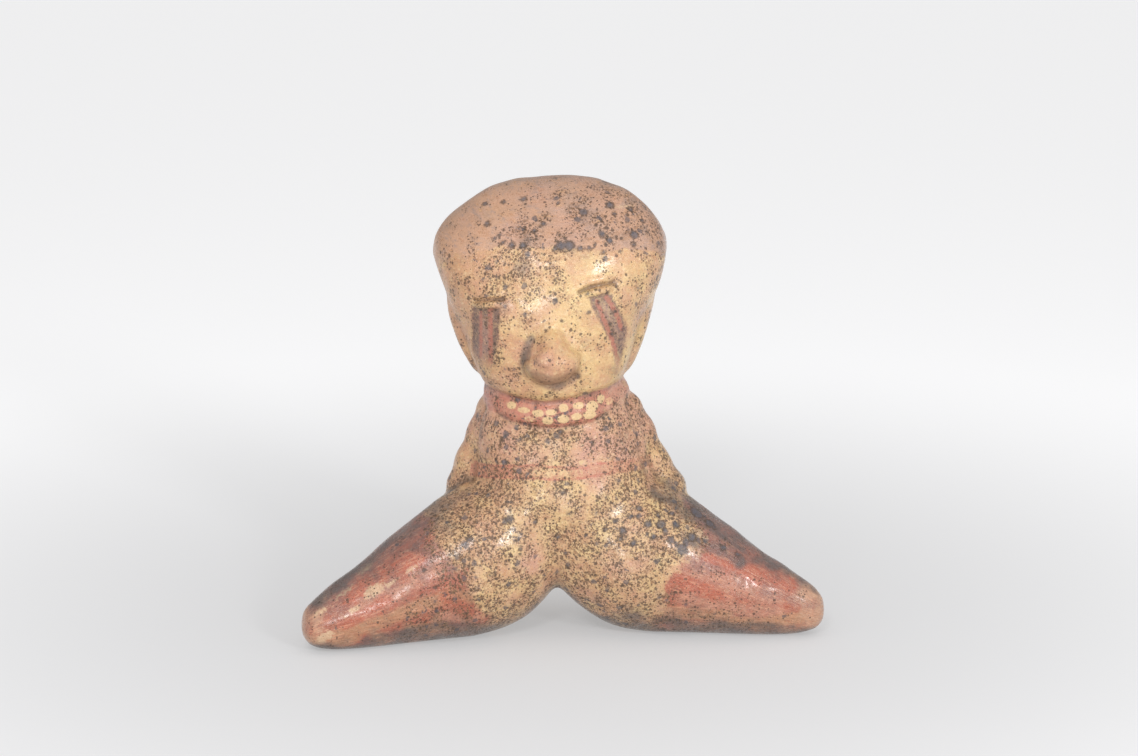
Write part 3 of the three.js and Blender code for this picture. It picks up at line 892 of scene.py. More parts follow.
# %% Specks and tones
# across, up, reach, and the shares of specks, ochre and rose
TONES = (
    (-42, 156, 12, 0.50, 1.00, 0.12), (-44, 176, 10, 0.14, 1.00, 0.15),
    (-25, 184, 10, 0.12, 0.85, 0.30), (0, 188, 12, 0.40, 0.60, 0.45),
    (24, 178, 12, 0.80, 0.75, 0.45), (8, 179, 8, 0.95, 0.55, 0.60),
    (-14, 173, 10, 0.75, 0.60, 0.60), (-28, 155, 9, 1.05, 0.60, 0.10),
    (-8, 157, 10, 0.75, 0.30, 0.05), (18, 160, 10, 0.18, 0.18, 0.00),
    (38, 146, 9, 0.60, 0.50, 0.15), (-16, 138, 9, 0.45, 0.70, 0.05),
    (8, 136, 12, 0.30, 0.12, 0.00), (-6.5, 125, 6.5, 0.34, 1.25, 0.30),
    (0, 118, 5.5, 0.45, 1.25, 0.10), (22, 120, 9, 0.22, 0.22, 0.02),
    (-20, 112, 9, 0.54, 0.75, 0.10), (4, 108, 8, 0.40, 0.35, 0.10),
    (-38, 134, 9, 0.40, 0.90, 0.20), (-30, 92, 9, 0.75, 0.90, 0.65),
    (0, 88, 11, 1.00, 0.45, 0.35), (26, 90, 10, 0.85, 0.80, 0.75),
    (12, 80, 7, 0.35, 0.45, 0.95), (-42, 72, 8, 0.40, 0.65, 0.20),
    (44, 74, 8, 0.85, 0.55, 0.10), (0, 66, 9, 0.70, 0.25, 0.04),
    (-34, 58, 12, 1.35, 1.00, 0.00), (-18, 50, 9, 0.85, 0.35, 0.06),
    (-24, 34, 11, 0.85, 0.65, 0.10), (-13, 40, 5, 0.60, 0.50, 1.00),
    (0, 46, 9, 0.85, 0.50, 0.06), (30, 54, 12, 1.20, 0.45, 0.08),
    (30, 36, 9, 0.85, 0.55, 0.40), (22, 22, 11, 0.90, 0.90, 0.10),
    (50, 50, 9, 1.20, 0.55, 0.02), (-46, 45, 7, 1.30, 0.80, 0.00),
    (-40, 26, 8, 0.85, 0.45, 0.20), (-56, 18, 9, 0.65, 0.40, 0.20),
    (-66, 34, 12, 0.28, 0.30, 0.30), (-95, 14, 12, 0.16, 0.50, 0.20),
    (46, 30, 8, 0.60, 0.30, 0.20), (72, 30, 14, 0.24, 0.30, 0.20),
    (66, 13, 10, 0.60, 0.30, 0.20), (102, 16, 12, 0.20, 0.60, 0.10),
)
BACK_SPECKS = 0.75
LEAST_SPECKS = 0.03
NOSE_TAN = 1.1

specks, ochre, rose = mixture(TONES).T
specks = np.clip(specks + uneven(high=0.22, length=9.0, seed=24), LEAST_SPECKS, 1)
on_nose = NOSE_TAN * blob(NOSE["across"], NOSE["up"], NOSE["rise"])
ochre = np.maximum(ochre + uneven(high=0.2, length=12.0, seed=25), on_nose)
keep("specks", specks * (BACK_SPECKS + (1 - BACK_SPECKS) * front))
keep("ochre", np.clip(ochre, 0, 1))
keep("rose", np.clip(rose + uneven(high=0.15, length=15.0, seed=26), 0, 1))

# %% [markdown]
# The slip was brushed on and then rubbed with a pebble, so everything is faintly streaked: around
# the head and trunk, and along the legs. The shader draws streaks from a pattern that is stretched
# one way. The way is set here, by a second set of coordinates that runs with the strokes.

# %% The way of the strokes
STRETCH = 0.13  # of the length, along a stroke
ROUND_RADIUS = 40.0
LEG_SPREAD = 30.0
HEAD_FROM = 108
LEG_FROM, LEG_BELOW = (34, 46), (70, 64)


def stroke_places():
    turn = np.radians(np.where(height > HEAD_FROM, head_turn, trunk_turn))
    around = np.stack([abs(turn) * ROUND_RADIUS * STRETCH, height, trunk_radius], 1)
    lengthwise = np.stack([sideways * STRETCH, height / leg_top * LEG_SPREAD, places[:, 1]], 1)
    share = (ramp(*LEG_FROM, sideways) * ramp(*LEG_BELOW, height))[:, None]
    return around * (1 - share) + lengthwise * share


layer = clay.attributes.new("stroke_place", "FLOAT_VECTOR", "POINT")
layer.data.foreach_set("vector", stroke_places().astype(np.float32).ravel())
print("stroke ways for", len(places), "points")

# %% [markdown]
# The paint is one material, built up in the potter's own order: cream slip, the hair, the red slip
# and the small painting, and over them wear, smoke with painted shade, specks, and soil with a little
# painted shade. What is used more than once is a node group with named sockets. Colours are written
# as a picture shows them, from 0 to 255.

# %% Node helpers
NUMBER, PLACE = "NodeSocketFloat", "NodeSocketVector"
NOISE_SWING = 4.0  # a noise runs from about 0.3 to 0.7, so this brings it to about 1 each way


def shade(red, green, blue):
    """A colour of a picture, turned into the light values that nodes take by the usual sRGB curve."""
    parts = np.array([red, green, blue]) / 255
    light = np.where(parts <= 0.04045, parts / 12.92, ((parts + 0.055) / 1.055) ** 2.4)
    return (*map(float, light), 1.0)


def put(tree, kind, inputs=None, **settings):
    """Adds a node with its settings, and links or sets each named input."""
    node = tree.nodes.new(kind)
    for name, value in settings.items():
        setattr(node, name, value)
    for name, value in (inputs or {}).items():
        if isinstance(value, bpy.types.NodeSocket):
            tree.links.new(value, node.inputs[name])
        else:
            node.inputs[name].default_value = value
    return node


def maths(tree, operation, *values, clamp=False):
    inputs = dict(enumerate(values))
    return put(tree, "ShaderNodeMath", inputs, operation=operation, use_clamp=clamp).outputs[0]


def plus(tree, first, second, clamp=False):
    return maths(tree, "ADD", first, second, clamp=clamp)


def times(tree, first, second):
    return maths(tree, "MULTIPLY", first, second)


def vectors(tree, operation, inputs, output="Vector"):
    return put(tree, "ShaderNodeVectorMath", inputs, operation=operation).outputs[output]


def mixed(tree, share, first, second):
    """A colour between two, by a share from 0 to 1. Each is a socket or a colour of a picture."""
    first, second = (shade(*tone) if isinstance(tone, tuple) else tone for tone in (first, second))
    return put(tree, "ShaderNodeMix", {0: share, 6: first, 7: second}, data_type="RGBA").outputs[2]


def rise(tree, value, start, end, kind="SMOOTHSTEP"):
    """0 before start, 1 after end, and a smooth rise between them, in nodes."""
    inputs = {"Value": value, "From Min": start, "From Max": end}
    return put(tree, "ShaderNodeMapRange", inputs, interpolation_type=kind).outputs["Result"]


def between(tree, share, start, end):
    """The number that lies that share of the way from start to end."""
    return maths(tree, "MULTIPLY_ADD", share, end - start, start)


def noise(tree, place, grain, detail=3.0, roughness=0.55):
    """A random value around 0.5 whose patches are about that many mm wide."""
    scale = maths(tree, "DIVIDE", 1.0, grain)
    inputs = {"Vector": place, "Scale": scale, "Detail": detail, "Roughness": roughness}
    return put(tree, "ShaderNodeTexNoise", inputs).outputs["Fac"]


def swing(tree, value, size):
    """A random value around 0.5 turned into one around 0, about that large each way."""
    return times(tree, maths(tree, "SUBTRACT", value, 0.5), times(tree, size, NOISE_SWING))


def group(name, inputs, output):
    """A new node group with one output: its tree, its input sockets and the output's own socket."""
    tree = bpy.data.node_groups.new(name, "ShaderNodeTree")
    for label, kind in inputs.items():
        tree.interface.new_socket(label, in_out="INPUT", socket_type=kind)
    tree.interface.new_socket(output, in_out="OUTPUT", socket_type=NUMBER)
    sockets = tree.nodes.new("NodeGroupInput").outputs
    last = tree.nodes.new("NodeGroupOutput").inputs[output]
    return tree, sockets, last


def use(tree, made, **inputs):
    """Puts a group in a material, and gives its output."""
    return put(tree, "ShaderNodeGroup", inputs, node_tree=made).outputs[0]


print("node helpers ready")

# %% Ragged edges
def ragged_edge_group():
    """Turns a distance inside an area into its mask, with the worn edge that a brush or a chip leaves."""
    inputs = {"Distance": NUMBER, "Place": PLACE, "Raggedness": NUMBER, "Grain": NUMBER, "Softness": NUMBER}
    tree, given, mask = group("ragged edge", inputs, "Mask")
    wander = swing(tree, noise(tree, given["Place"], given["Grain"]), given["Raggedness"])
    reach = plus(tree, given["Distance"], wander)
    tree.links.new(rise(tree, reach, times(tree, given["Softness"], -1.0), given["Softness"]), mask)
    return tree


ragged_edge = ragged_edge_group()
print("group:", ragged_edge.name)

# %% Mineral specks
SPECK_BEND = 0.45  # of their spacing: how far specks are pushed out of round
# of their layer's size: the smallest speck, and the grain, raggedness and softness of its edge
SPECK_LEAST, SPECK_GRAIN, SPECK_WANDER, SPECK_SOFTNESS = 0.6, 0.7, 0.2, 0.25


def specks_group():
    """Grains of random size in the clay, each one a ragged dot. Amount is the share of places taken."""
    inputs = {"Place": PLACE, "Spacing": NUMBER, "Size": NUMBER, "Amount": NUMBER}
    tree, given, mask = group("mineral specks", inputs, "Mask")
    place, spacing, size = given["Place"], given["Spacing"], given["Size"]
    scale = maths(tree, "DIVIDE", 1.0, spacing)
    random = {"Vector": place, "Scale": scale, "Detail": 2.0}
    bend = put(tree, "ShaderNodeTexNoise", random).outputs["Color"]
    centred = vectors(tree, "SUBTRACT", {0: bend, 1: (0.5, 0.5, 0.5)})
    pushed = vectors(tree, "SCALE", {0: centred, "Scale": times(tree, spacing, SPECK_BEND)})
    bent = vectors(tree, "ADD", {0: place, 1: pushed})
    cells = put(tree, "ShaderNodeTexVoronoi", {"Vector": bent, "Scale": scale}).outputs
    reach = times(tree, cells["Distance"], spacing)
    chance = put(tree, "ShaderNodeSeparateColor", {"Color": cells["Color"]}).outputs
    taken = maths(tree, "LESS_THAN", chance["Red"], given["Amount"])
    radius = times(tree, size, between(tree, chance["Green"], SPECK_LEAST, 1.0))
    rough = noise(tree, place, times(tree, size, SPECK_GRAIN), 2.0)
    wander = swing(tree, rough, times(tree, size, SPECK_WANDER))
    inside = plus(tree, maths(tree, "SUBTRACT", radius, reach), wander)
    softness = times(tree, size, SPECK_SOFTNESS)
    dot = rise(tree, inside, times(tree, softness, -1.0), softness)
    tree.links.new(times(tree, dot, taken), mask)
    return tree


mineral_specks = specks_group()
print("group:", mineral_specks.name)

# %% Burnish strokes
WIDE_STROKE = 2.6  # times the width of a narrow one
WIDE_SHARE, NARROW_SHARE = 0.3, 0.35


def strokes_group():
    """The streaks that brushing and rubbing leave, from 0 to 1, narrow ones over wide ones."""
    tree, given, value = group("burnish strokes", {"Stroke Place": PLACE, "Width": NUMBER}, "Value")
    wide = noise(tree, given["Stroke Place"], times(tree, given["Width"], WIDE_STROKE), 2.0)
    narrow = noise(tree, given["Stroke Place"], given["Width"], 3.0, 0.65)
    both = plus(tree, swing(tree, wide, WIDE_SHARE), swing(tree, narrow, NARROW_SHARE))
    tree.links.new(plus(tree, both, 0.5, clamp=True), value)
    return tree


burnish_strokes = strokes_group()
print("group:", burnish_strokes.name)

# %% [markdown]
# Each layer of paint is a function that takes the colour so far and gives the colour over it. They
# share one small set of sockets: the place in mm, the place along the strokes, and the strokes.

# %% What the layers of paint share
STROKE_WIDTH = 1.3
# raggedness, grain and softness of the edge of each painted area
EDGES = {
    "hair": (0.9, 3.5, 0.9),
    "red": (3.2, 3.4, 2.4),
    "necklace": (0.6, 2.2, 0.6),
    "belt": (1.0, 1.8, 0.8),
    "belt_lines": (0.5, 1.3, 0.4),
    "beads": (0.22, 1.5, 0.25),
    "eye_panels": (0.8, 1.3, 0.7),
    "eye_stripes": (0.4, 1.3, 0.45),
    "bare": (0.9, 1.6, 0.6),
    "blots": (0.75, 1.3, 0.6),
}
RED_FINE_EDGE, BARE_BEAD_EDGE = (2.2, 0.9, 2.4), (0.2, 1.5, 0.3)


class Paint:
    """What every layer of paint needs: the tree, the places, and the numbers kept on the clay."""

    def __init__(self, tree):
        self.tree = tree
        given = put(tree, "ShaderNodeTexCoord").outputs["Object"]
        self.place = vectors(tree, "SCALE", {0: given, "Scale": 1 / MM})
        self.across = put(tree, "ShaderNodeSeparateXYZ", {0: self.place}).outputs[0]
        self.stroke_place = self.kept("stroke_place", "Vector")
        inputs = {"Stroke Place": self.stroke_place, "Width": STROKE_WIDTH}
        self.strokes = use(tree, burnish_strokes, **inputs)

    def kept(self, name, output="Fac"):
        return put(self.tree, "ShaderNodeAttribute", attribute_name=name).outputs[output]

    def area(self, name, edge=None):
        """The mask of a painted area whose distances are kept on the clay."""
        sizes = dict(zip(("Raggedness", "Grain", "Softness"), edge or EDGES[name]))
        return use(self.tree, ragged_edge, Distance=self.kept(name), Place=self.place, **sizes)

    def both(self, first, second):
        return maths(self.tree, "MULTIPLY", first, second, clamp=True)

    def patchy(self, share, grain, size=0.3):
        """A share made uneven by a random value, for paint that is thin here and thick there."""
        wander = swing(self.tree, noise(self.tree, self.place, grain, 4.0), size)
        return plus(self.tree, share, wander, clamp=True)

    def flecks(self, grain, start, end, roughness=0.7, place=None):
        """Small patches: those places where a random value is beyond start, and wholly so beyond end."""
        place = self.place if place is None else place
        return rise(self.tree, noise(self.tree, place, grain, 4.0, roughness), start, end)

    def over(self, colour, share, tone):
        """A tone painted by that share over the colour so far."""
        return mixed(self.tree, share, colour, tone)


print("paint ready")

# %% Slips
CREAM_LIGHT = (213, 182, 131)
CREAM_DEEP = (194, 159, 112)
CREAM_WARM = (198, 146, 96)
CREAM_PALE = (222, 196, 154)
OCHRE = (186, 141, 106)
ROSE = (192, 144, 124)
HAIR_TAN = (187, 145, 116)
HAIR_GREY = (152, 128, 118)
HAIR_BROWN = (160, 114, 84)
HAIR_ROSE = (184, 143, 121)
RED = (156, 90, 71)
VERMILION_RED = (170, 90, 66)
# dusty red, for worn slip and for painted sheen on the legs
DUSTY_SHEEN_RED = (180, 128, 107)
RED_RUBBED = (206, 150, 120)
RED_DEEP = (132, 84, 70)
OCHRE_RED = (172, 130, 96)
LEG_MAUVE = (128, 92, 84)
LEG_BROWN = (138, 108, 86)
TIP_CLAY = (188, 146, 118)
BASE_SHARE = 0.35  # of a slip's second colour in its first
# tone, grain, where the random value starts and is whole, and how strong it is
CREAM_FLECKS = ((CREAM_WARM, 1.3, 0.5, 0.66, 0.5), (CREAM_PALE, 1.8, 0.53, 0.68, 0.45))
# tone, and where in the strokes it starts and is whole
HAIR_STREAKS = ((HAIR_GREY, 0.5, 0.9), (HAIR_BROWN, 0.45, 0.1))
HAIR_TAN_SHARE, HAIR_ROSE_SHARE = 1.15, 1.1
HAIR_STREAK_SHARE, HAIR_WORN, HAIR_COVER = 0.7, (0.3, 0.0), 0.92
# what is kept on the clay, its tone and how strong it is
LEG_TONES = (("ochre_stripe", OCHRE_RED, 0.8), ("leg_under", LEG_BROWN, 0.8), ("leg_top", LEG_MAUVE, 0.75))
RED_STREAKS, LEG_STREAKS, LEG_TONE_FROM = 0.22, 0.1, (0.0, 0.3)
DUSTY_SHEEN_SHARE, VERMILION_SHARE, TIP_SHARE = 0.8, 0.85, 0.85
RED_FLECK_GRAIN = 0.8
RED_FLECKS = ((RED_RUBBED, 0.52, 0.66, 0.6), (RED_DEEP, 0.47, 0.34, 0.55))


def cream_slip(paint):
    colour = paint.over(CREAM_LIGHT, paint.patchy(BASE_SHARE, grain=7.0, size=0.5), CREAM_DEEP)
    colour = paint.over(colour, paint.patchy(paint.kept("ochre"), grain=2.6), OCHRE)
    colour = paint.over(colour, paint.patchy(paint.kept("rose"), grain=2.6, size=0.22), ROSE)
    for tone, grain, start, end, most in CREAM_FLECKS:
        colour = paint.over(colour, paint.both(paint.flecks(grain, start, end), most), tone)
    return colour


def hair_slip(paint, colour):
    tree = paint.tree
    tan = paint.patchy(paint.both(paint.kept("ochre"), HAIR_TAN_SHARE), grain=7.0, size=0.25)
    rosy = paint.patchy(paint.both(paint.kept("rose"), HAIR_ROSE_SHARE), grain=5.0)
    hair = paint.over(paint.over(HAIR_GREY, tan, HAIR_TAN), rosy, HAIR_ROSE)
    for tone, start, end in HAIR_STREAKS:
        hair = paint.over(hair, paint.both(rise(tree, paint.strokes, start, end), HAIR_STREAK_SHARE), tone)
    left = maths(tree, "SUBTRACT", 1.0, rise(tree, paint.strokes, *HAIR_WORN), clamp=True)
    cover = paint.both(paint.area("hair"), left)
    return paint.over(colour, paint.both(cover, HAIR_COVER), hair)


def red_slip(paint, colour):
    tree = paint.tree
    streaks = swing(tree, paint.strokes, RED_STREAKS)
    red = paint.over(RED, paint.patchy(BASE_SHARE, grain=5.0, size=0.5), VERMILION_RED)
    # the dusty red: worn slip, and painted sheen along the legs' lit ridges
    dusty_sheen = paint.both(plus(tree, paint.kept("dusty_sheen"), streaks, clamp=True), DUSTY_SHEEN_SHARE)
    red = paint.over(red, paint.patchy(dusty_sheen, grain=2.2), DUSTY_SHEEN_RED)
    for name, tone, most in LEG_TONES:
        share = plus(tree, times(tree, paint.kept(name), most), swing(tree, paint.strokes, LEG_STREAKS))
        share = paint.both(share, rise(tree, paint.kept(name), *LEG_TONE_FROM))
        red = paint.over(red, paint.patchy(share, grain=2.4, size=0.2), tone)
    bright = paint.both(plus(tree, paint.kept("vermilion"), streaks, clamp=True), VERMILION_SHARE)
    red = paint.over(red, paint.patchy(bright, grain=3.0, size=0.2), VERMILION_RED)
    red = paint.over(red, paint.patchy(paint.both(paint.kept("tips"), TIP_SHARE), grain=2.0), TIP_CLAY)
    for tone, start, end, most in RED_FLECKS:
        rubbed = paint.flecks(RED_FLECK_GRAIN, start, end, roughness=0.75, place=paint.stroke_place)
        red = paint.over(red, paint.both(rubbed, most), tone)
    return paint.over(colour, times(tree, paint.area("red"), paint.area("red", RED_FINE_EDGE)), red)


print("slips ready")

# %% Small painting
NECK_RED = (178, 106, 88)
NECK_WORN = (194, 148, 126)
BELT_RED = (180, 102, 84)
BEAD_CREAM = (208, 176, 132)
PANEL_DARK = (98, 74, 68)
PANEL_MIDDLE = (138, 108, 98)
STRIPE_RED = (172, 104, 84)
# from and to how far across, and the share at both ends
NECK_WORN_PART = (12.0, 24.0, 0.3, 0.75)
BELT_STRONG_PART = (-12.0, -24.0, 0.5, 0.95)
BELT_CLEAR_PART = (22.0, 12.0, 0.25, 0.6)
PANEL_PALE_PART = (-5.0, 5.0, 0.0, 0.35)
NECK_COVER, BELT_COVER, PANEL_COVER, STRIPE_COVER = 0.92, 0.66, 0.82, 0.7
BEAD_WORN = (0.35, 0.65)
PANEL_MIDDLE_FROM, STRIPE_WITHIN = (2.2, 4.2), (-0.6, 0.2)  # mm inside the panel


def share_across(paint, start, end, low, high):
    """A share that changes from one side of the figure to the other."""
    return between(paint.tree, rise(paint.tree, paint.across, start, end), low, high)


def necklace_paint(paint, colour):
    worn = paint.patchy(share_across(paint, *NECK_WORN_PART), grain=2.4, size=0.45)
    cover = paint.both(paint.area("necklace"), paint.patchy(NECK_COVER, grain=1.6, size=0.2))
    colour = paint.over(colour, cover, paint.over(NECK_RED, worn, NECK_WORN))
    strong = paint.patchy(share_across(paint, *BELT_STRONG_PART), grain=1.5, size=0.55)
    fill = paint.both(paint.area("belt"), strong)
    colour = paint.over(colour, paint.both(fill, BELT_COVER), NECK_RED)
    clear = paint.patchy(share_across(paint, *BELT_CLEAR_PART), grain=1.4, size=0.5)
    return paint.over(colour, paint.both(paint.area("belt_lines"), clear), BELT_RED)


def bead_paint(paint, colour):
    left = rise(paint.tree, paint.patchy(paint.kept("beads_left"), grain=1.6, size=0.25), *BEAD_WORN)
    return paint.over(colour, paint.both(paint.area("beads"), left), BEAD_CREAM)


def eye_paint(paint, colour):
    tree = paint.tree
    left = paint.patchy(paint.kept("eye_paint_left"), grain=2.2)
    inner = rise(tree, paint.kept("eye_panels"), *PANEL_MIDDLE_FROM)
    middle = maths(tree, "MAXIMUM", inner, share_across(paint, *PANEL_PALE_PART))
    panel = paint.over(PANEL_DARK, paint.patchy(middle, grain=1.4, size=0.35), PANEL_MIDDLE)
    cover = paint.both(paint.area("eye_panels"), left)
    colour = paint.over(colour, paint.both(cover, paint.patchy(PANEL_COVER, grain=1.1)), panel)
    left = paint.patchy(paint.both(left, STRIPE_COVER), grain=1.1)
    stripe = paint.both(paint.area("eye_stripes"), left)
    within = rise(tree, paint.kept("eye_panels"), *STRIPE_WITHIN)
    return paint.over(colour, paint.both(stripe, within), STRIPE_RED)


print("small painting ready")

# %% Wear, smoke, painted shade, specks and soil
BARE_CLAY = (204, 172, 138)
# the next colour serves for smoke and for the painted shade kept with it
SMOKE_AND_SHADE = (80, 73, 71)
SPECK = (68, 52, 40)
BLOT = (72, 71, 78)
BLOT_MIDDLE = (82, 84, 94)
# the next colour serves for soil in the hollows and for the painted shade under the nose
SOIL_AND_SHADE = (120, 92, 70)
NET_BROWN = (118, 86, 58)
BARE_COVER, BLOT_COVER, SMOKE_AND_SHADE_COVER, SOIL_AND_SHADE_COVER = 0.8, 0.78, 0.86, 0.58
FLAKE_GRAIN, FLAKES_FROM, FLAKE_COVER, RUBBED_FLAKES = 1.1, (0.66, 0.75), 0.4, 0.12
SMOKE_AND_SHADE_FROM = (0.12, 1.0)
BLOT_MIDDLE_FROM, BLOT_MIDDLE_SHARE = (0.1, 1.3), 0.8
BEAD_SPECKS = 0.5  # of the specks are left on the beads
# spacing and size in mm, the amount at which they start, how many there are, and how strong they are
SPECK_SIZES = (
    (0.85, 0.25, 0.0, 1.0, 0.54),
    (1.3, 0.43, 0.0, 0.9, 0.8),
    (1.2, 0.46, 0.5, 1.0, 0.72),
    (2.1, 0.8, 0.22, 0.7, 0.78),
)
LARGE_SPECKS = (4.2, 1.5, 0.42, 0.5, 0.66)
# where specks are many, the slip is brown in a fine net
NET_GRAIN, NET_LINES, NET_FROM = 1.3, (0.48, 0.6), 0.45
FINE_GRAIN, BROAD_GRAIN = (0.7, 0.75, 0.17), (5.0, 0.6, 0.06)  # grain, roughness and strength


def worn_paint(paint, colour):
    tree = paint.tree
    bare = paint.both(paint.area("bare"), paint.patchy(BARE_COVER, grain=1.2, size=0.2))
    colour = paint.over(colour, bare, BARE_CLAY)
    flakes = noise(tree, paint.stroke_place, FLAKE_GRAIN, 4.0, 0.7)
    chance = plus(tree, flakes, times(tree, paint.kept("rubbed"), RUBBED_FLAKES))
    return paint.over(colour, paint.both(rise(tree, chance, *FLAKES_FROM), FLAKE_COVER), BARE_CLAY)


# smoke, and the painted shade kept with it: under things, in cuts and creases, and along the legs' lower
# edges
def smoke_and_shade_stain(paint, colour):
    stain = rise(paint.tree, paint.patchy(paint.kept("smoke_and_shade"), grain=3.2, size=0.2), *SMOKE_AND_SHADE_FROM)
    return paint.over(colour, paint.both(stain, SMOKE_AND_SHADE_COVER), SMOKE_AND_SHADE)


def speck_layers(paint, colour):
    """The specks over the colour so far, and where they are."""
    tree = paint.tree
    beside_beads = between(tree, paint.area("beads", BARE_BEAD_EDGE), 1.0, BEAD_SPECKS)
    amount = times(tree, paint.kept("specks"), beside_beads)
    net = paint.both(paint.flecks(NET_GRAIN, *NET_LINES), rise(tree, amount, NET_FROM, 1.0, "LINEAR"))
    colour = paint.over(colour, net, NET_BROWN)

    def dots(spacing, size, start, most, strength):
        share = times(tree, rise(tree, amount, start, 1.0, "LINEAR"), most)
        inputs = {"Place": paint.place, "Spacing": spacing, "Size": size, "Amount": share}
        return times(tree, use(tree, mineral_specks, **inputs), strength)

    def strongest_of(*masks):
        return functools.reduce(lambda first, second: maths(tree, "MAXIMUM", first, second), masks)

    small = strongest_of(*(dots(*sizes) for sizes in SPECK_SIZES))
    large = dots(*LARGE_SPECKS)
    colour = paint.over(paint.over(colour, small, SPECK), large, BLOT)
    blots = paint.area("blots")
    middle = paint.both(rise(tree, paint.kept("blots"), *BLOT_MIDDLE_FROM), BLOT_MIDDLE_SHARE)
    tone = paint.over(SPECK, paint.patchy(middle, grain=1.4, size=0.5), BLOT_MIDDLE)
    colour = paint.over(colour, paint.both(blots, BLOT_COVER), tone)
    return colour, strongest_of(small, large, blots)


def grain_layer(paint, colour):
    """Slip over coarse clay is nowhere quite even: a little lighter and darker, finely and broadly."""
    tree = paint.tree
    parts = (
        swing(tree, noise(tree, paint.place, grain, 4.0, roughness), strength)
        for grain, roughness, strength in (FINE_GRAIN, BROAD_GRAIN)
    )
    return vectors(tree, "SCALE", {0: colour, "Scale": plus(tree, plus(tree, *parts), 1.0)})


# soil in the hollows, and the painted shade under the nose
def soil_and_shade_layer(paint, colour):
    soil_and_shade = paint.patchy(paint.kept("soil_and_shade"), grain=1.5, size=0.1)
    return paint.over(colour, paint.both(soil_and_shade, SOIL_AND_SHADE_COVER), SOIL_AND_SHADE)


print("wear ready")

# %% [markdown]
# Burnished slip has a soft gloss. It is duller where soil sits, in the painted shade under the nose,
# and on the specks, and the strokes show in it more than in the colour. A low bump gives strokes,
# brush grain and the tiny pits of the specks.

# %% The finished material
ROUGH_SLIP, STROKE_ROUGHNESS, SOIL_ROUGHNESS, SPECK_ROUGHNESS = 0.3, 0.03, 0.3, 0.1
COAT_ROUGHNESS = 0.21
COAT_PATCHES = (1.0, 0.36, 0.62)  # grain, and where the random value starts and is whole
COAT_MOST, COAT_ON_SPECKS = 1.0, 0.1
BUMP_HEIGHT = 0.0003  # in metres
STROKE_BUMP, GRAIN_BUMP, SPECK_PITS = 0.5, 0.25, 0.35
BUMP_GRAIN = (0.7, 3.0, 0.7)  # size, detail and roughness


def new_material(name):
    """A new material, its tree and its shader."""
    material = bpy.data.materials.new(name)
    material.use_nodes = True
    return material, material.node_tree, material.node_tree.nodes["Principled BSDF"]


def fired_clay_material():
    material, tree, shader = new_material("fired clay")
    paint = Paint(tree)
    colour = cream_slip(paint)
    for layer in (hair_slip, red_slip, necklace_paint, bead_paint, eye_paint, worn_paint, smoke_and_shade_stain):
        colour = layer(paint, colour)
    colour, specked = speck_layers(paint, colour)
    colour = grain_layer(paint, soil_and_shade_layer(paint, colour))

    rough = plus(tree, swing(tree, paint.strokes, STROKE_ROUGHNESS), ROUGH_SLIP)
    rough = plus(tree, rough, times(tree, paint.kept("soil_and_shade"), SOIL_ROUGHNESS))
    rough = plus(tree, rough, times(tree, specked, SPECK_ROUGHNESS), clamp=True)
    gloss = times(tree, paint.flecks(*COAT_PATCHES), between(tree, specked, COAT_MOST, COAT_ON_SPECKS))
    gloss = times(tree, gloss, paint.kept("polish"))

    grain = swing(tree, noise(tree, paint.place, *BUMP_GRAIN), GRAIN_BUMP)
    height = plus(tree, times(tree, paint.strokes, STROKE_BUMP), grain)
    height = maths(tree, "SUBTRACT", height, times(tree, specked, SPECK_PITS))
    bump = put(tree, "ShaderNodeBump", {"Height": height, "Distance": BUMP_HEIGHT, "Strength": 1.0})

    tree.links.new(colour, shader.inputs["Base Color"])
    tree.links.new(rough, shader.inputs["Roughness"])
    tree.links.new(gloss, shader.inputs["Coat Weight"])
    tree.links.new(bump.outputs["Normal"], shader.inputs["Normal"])
    shader.inputs["Coat Roughness"].default_value = COAT_ROUGHNESS
    return material


fired_clay = fired_clay_material()
print("material with", len(fired_clay.node_tree.nodes), "nodes")

# %% [markdown]
# The clay takes the solid's place in the frame, so that it moves with the same body, and the solid
# itself is hidden. It is shaded smooth, because burnished clay shows no facets.

# %% Put the clay in the frame
figure = object_of(clay, "figure_clay")
clay.polygons.foreach_set("use_smooth", np.ones(len(clay.polygons), bool))
clay.materials.clear()
clay.materials.append(fired_clay)
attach(figure, "root")
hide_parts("figure")
print("figure:", len(clay.vertices), "points")

# %% [markdown]
# The figure stands on one wide, pale sheet. Close by it is painted a little darker than far off, as
# paper looks that curves up behind an object, and it glows, most of all close by: that glow is painted
# light, which lightens the shadows on the sheet and the figure's undersides. Only the shadows tell
# where the legs touch it.

# %% Floor
FLOOR_REACH = 12000.0
# painted light on the floor: its colour and its glow change from close by to far off
FLOOR_NEAR = (160, 160, 162)
FLOOR_FAR = (246, 246, 248)
FLOOR_GLOW_NEAR, FLOOR_GLOW_FAR = 0.36, 0.165
FLOOR_FADE_START, FLOOR_FADE_END = 60.0, 620.0
WHITE = (255, 255, 255)
PAPER_ROUGHNESS, PAPER_SHINE = 0.9, 0.1


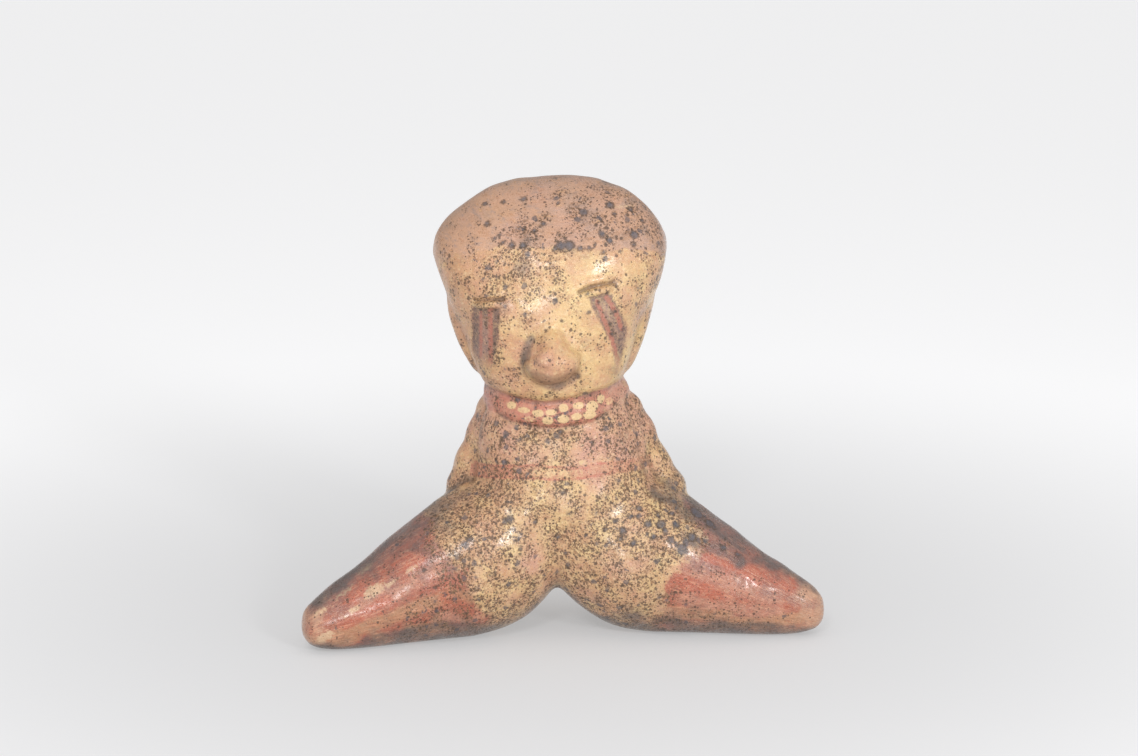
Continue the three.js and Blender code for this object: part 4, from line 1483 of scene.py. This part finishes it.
def glowing_paper():
    material, tree, shader = new_material("glowing_paper")
    place = put(tree, "ShaderNodeTexCoord").outputs["Object"]
    far = vectors(tree, "LENGTH", {0: place}, "Value")
    # the glow is painted light, strongest close by
    fade = rise(tree, far, FLOOR_FADE_START * MM, FLOOR_FADE_END * MM)
    tree.links.new(mixed(tree, fade, FLOOR_NEAR, FLOOR_FAR), shader.inputs["Base Color"])
    glow = between(tree, fade, FLOOR_GLOW_NEAR, FLOOR_GLOW_FAR)
    tree.links.new(glow, shader.inputs["Emission Strength"])
    shader.inputs["Emission Color"].default_value = shade(*WHITE)
    shader.inputs["Roughness"].default_value = PAPER_ROUGHNESS
    shader.inputs["Specular IOR Level"].default_value = PAPER_SHINE
    return material


sheet = bpy.data.meshes.new("floor")
reach = FLOOR_REACH * MM
corners = [(-reach, -reach, 0), (reach, -reach, 0), (reach, reach, 0), (-reach, reach, 0)]
sheet.from_pydata(corners, [], [(0, 1, 2, 3)])
sheet.materials.append(glowing_paper())
floor = object_of(sheet, "floor")
print("floor of", 2 * reach, "m")

# %% [markdown]
# The light is that of a white tent: nearly even from all sides, with three soft boxes that shine in
# the burnished forehead, thighs and legs.

# %% Light
TENT_WHITE = (255, 255, 254)
TENT_BRIGHT, TENT_DIM = 0.95, 0.39
TENT_BRIGHT_WAY = (0.15, -0.75, 0.62)
TENT_FADE = (-0.6, 1.0)  # from the far side of the tent to the bright one
SOFT_BOXES = (
    {"turn": 32, "height": 18, "distance": 1100, "size": 160, "watts": 3.6},
    {"turn": -10, "height": 32, "distance": 1150, "size": 200, "watts": 2.9},
    {"turn": -9, "height": 1, "distance": 1150, "size": 100, "watts": 1.5},
)


def tent():
    """White all round, and brighter the nearer one looks to the bright side."""
    world = bpy.data.worlds.new("tent")
    world.use_nodes = True
    tree = world.node_tree
    way = put(tree, "ShaderNodeTexCoord").outputs["Generated"]
    bright = Vector(TENT_BRIGHT_WAY).normalized()
    towards = vectors(tree, "DOT_PRODUCT", {0: way, 1: bright}, "Value")
    strength = between(tree, rise(tree, towards, *TENT_FADE), TENT_DIM, TENT_BRIGHT)
    background = tree.nodes["Background"]
    background.inputs["Color"].default_value = shade(*TENT_WHITE)
    tree.links.new(strength, background.inputs["Strength"])
    return world


def soft_box(turn, height, distance, size, watts):
    data = bpy.data.lights.new("soft box", "AREA")
    data.shape = "SQUARE"
    data.size = size * MM
    data.energy = watts
    box = stand("soft box", data, seen_from(turn, height, distance))
    box.visible_camera = False


bpy.context.scene.world = tent()
for box in SOFT_BOXES:
    soft_box(**box)
bpy.context.scene.view_settings.view_transform = "Standard"
print(len(SOFT_BOXES), "soft boxes in a white tent")
